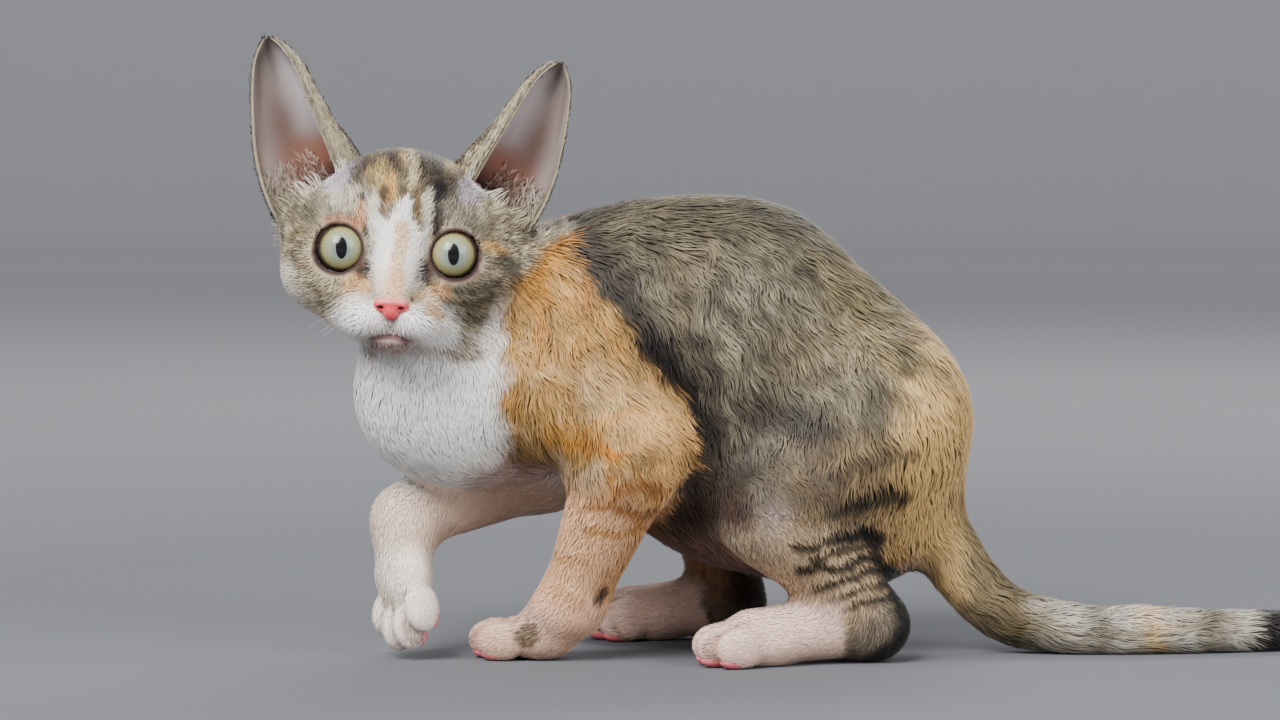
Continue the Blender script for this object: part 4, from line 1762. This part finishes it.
# The floor: a plain pale round sheet that curves up far off on every side, so that the kitten
# stands before the same paper from wherever it is seen. It isn't part of the model.
FLOOR_REACH, WALL_TURN, WALL_TOP = 5.5, 1.6, 4.0
NEAR_TINT, FAR_TINT, TINT_FROM, TINT_TO = "66686C", "CACACD", 0.4, 3.6


def stage_sheet():
    arc = np.linspace(0, math.pi / 2, 22)
    profile = [(r, 0) for r in (0.4, 1, 2, 3.4)]
    for a in arc:
        profile.append((FLOOR_REACH - WALL_TURN * (1 - math.sin(a)), WALL_TURN * (1 - math.cos(a))))
    profile += [(FLOOR_REACH, WALL_TOP)]
    turns = 96
    angles = [2 * math.pi * k / turns for k in range(turns)]
    points = [(r * math.cos(a), r * math.sin(a), z) for r, z in profile for a in angles]
    faces = [tuple(range(turns))]
    for ring in range(len(profile) - 1):
        for k in range(turns):
            a, b = ring * turns + k, ring * turns + (k + 1) % turns
            faces.append((a, a + turns, b + turns, b))
    mesh = bpy.data.meshes.new("studio_floor")
    mesh.from_pydata(points, [], faces)
    mesh.polygons.foreach_set("use_smooth", [True] * len(faces))
    # Backdrop paper: matt, mid grey where the kitten stands and paler far off
    material, tree = bare_material("matt_backdrop_paper")
    place = node(tree, "ShaderNodeTexCoord").outputs["Object"]
    far = node(tree, "ShaderNodeVectorMath", {0: place}, operation="LENGTH")
    span = {"From Min": TINT_FROM, "From Max": TINT_TO, "To Min": 0.0, "To Max": 1.0}
    shade = node(tree, "ShaderNodeMapRange", {"Value": far.outputs["Value"], **span})
    near, away = ((*linear(code), 1) for code in (NEAR_TINT, FAR_TINT))
    sockets = {0: shade.outputs["Result"], 6: near, 7: away}
    tint = node(tree, "ShaderNodeMix", sockets, data_type="RGBA")
    paper = node(
        tree,
        "ShaderNodeBsdfPrincipled",
        {"Base Color": tint.outputs[2], "Roughness": 0.9, "Specular IOR Level": 0.2},
    )
    node(tree, "ShaderNodeOutputMaterial", {"Surface": paper.outputs["BSDF"]})
    mesh.materials.append(material)
    sheet = bpy.data.objects.new("studio_floor", mesh)
    bpy.context.scene.collection.objects.link(sheet)
    return sheet


stage_sheet()


# The light: a large soft lamp from the left, before and above, a weaker one from the right and a
# low one from behind for the edge of the coat, in a room's even daylight.
def area_light(name, place, aim, size, power, tint="FFFFFF"):
    lamp = bpy.data.lights.new(name, "AREA")
    lamp.shape = "RECTANGLE"
    lamp.size, lamp.size_y = size
    lamp.energy = power
    lamp.color = linear(tint)
    light = bpy.data.objects.new(name, lamp)
    light.location = place
    light.rotation_euler = (Vector(aim) - Vector(place)).to_track_quat("-Z", "Y").to_euler()
    bpy.context.scene.collection.objects.link(light)


area_light("key_light", (-0.9, -1.3, 1.5), (0, 0, 0.08), (1.2, 1.2), 98)
area_light("fill_light", (1.3, -1.2, 0.8), (0, 0, 0.08), (1.2, 1.2), 31)
area_light("back_light", (0.4, 1.2, 1.4), (0, 0, 0.1), (1.4, 0.6), 22)
world = bpy.data.worlds.new("studio_air")
world.use_nodes = True
world.node_tree.nodes["Background"].inputs["Color"].default_value = (*linear("DDDFE4"), 1)
world.node_tree.nodes["Background"].inputs["Strength"].default_value = 0.5
bpy.context.scene.world = world


# The camera: a long lens, set as in the photo: level with the kitten's brow, a metre and a half
# off, and looking slightly down.
FOCAL_PIXELS, FRAME_PIXELS, SENSOR = 4545, 1280, 36
CAMERA_PLACE, LOOKS_DOWN = np.array((0, -1500, 182.6)), 0.0571
lens = bpy.data.cameras.new("camera")
lens.sensor_width = SENSOR
lens.lens = FOCAL_PIXELS / FRAME_PIXELS * SENSOR
camera = bpy.data.objects.new("camera", lens)
camera.location = (CAMERA_PLACE + SHIFT) / 1000
camera.rotation_euler = (math.pi / 2 - LOOKS_DOWN, 0, 0)
bpy.context.scene.collection.objects.link(camera)
bpy.context.scene.camera = camera
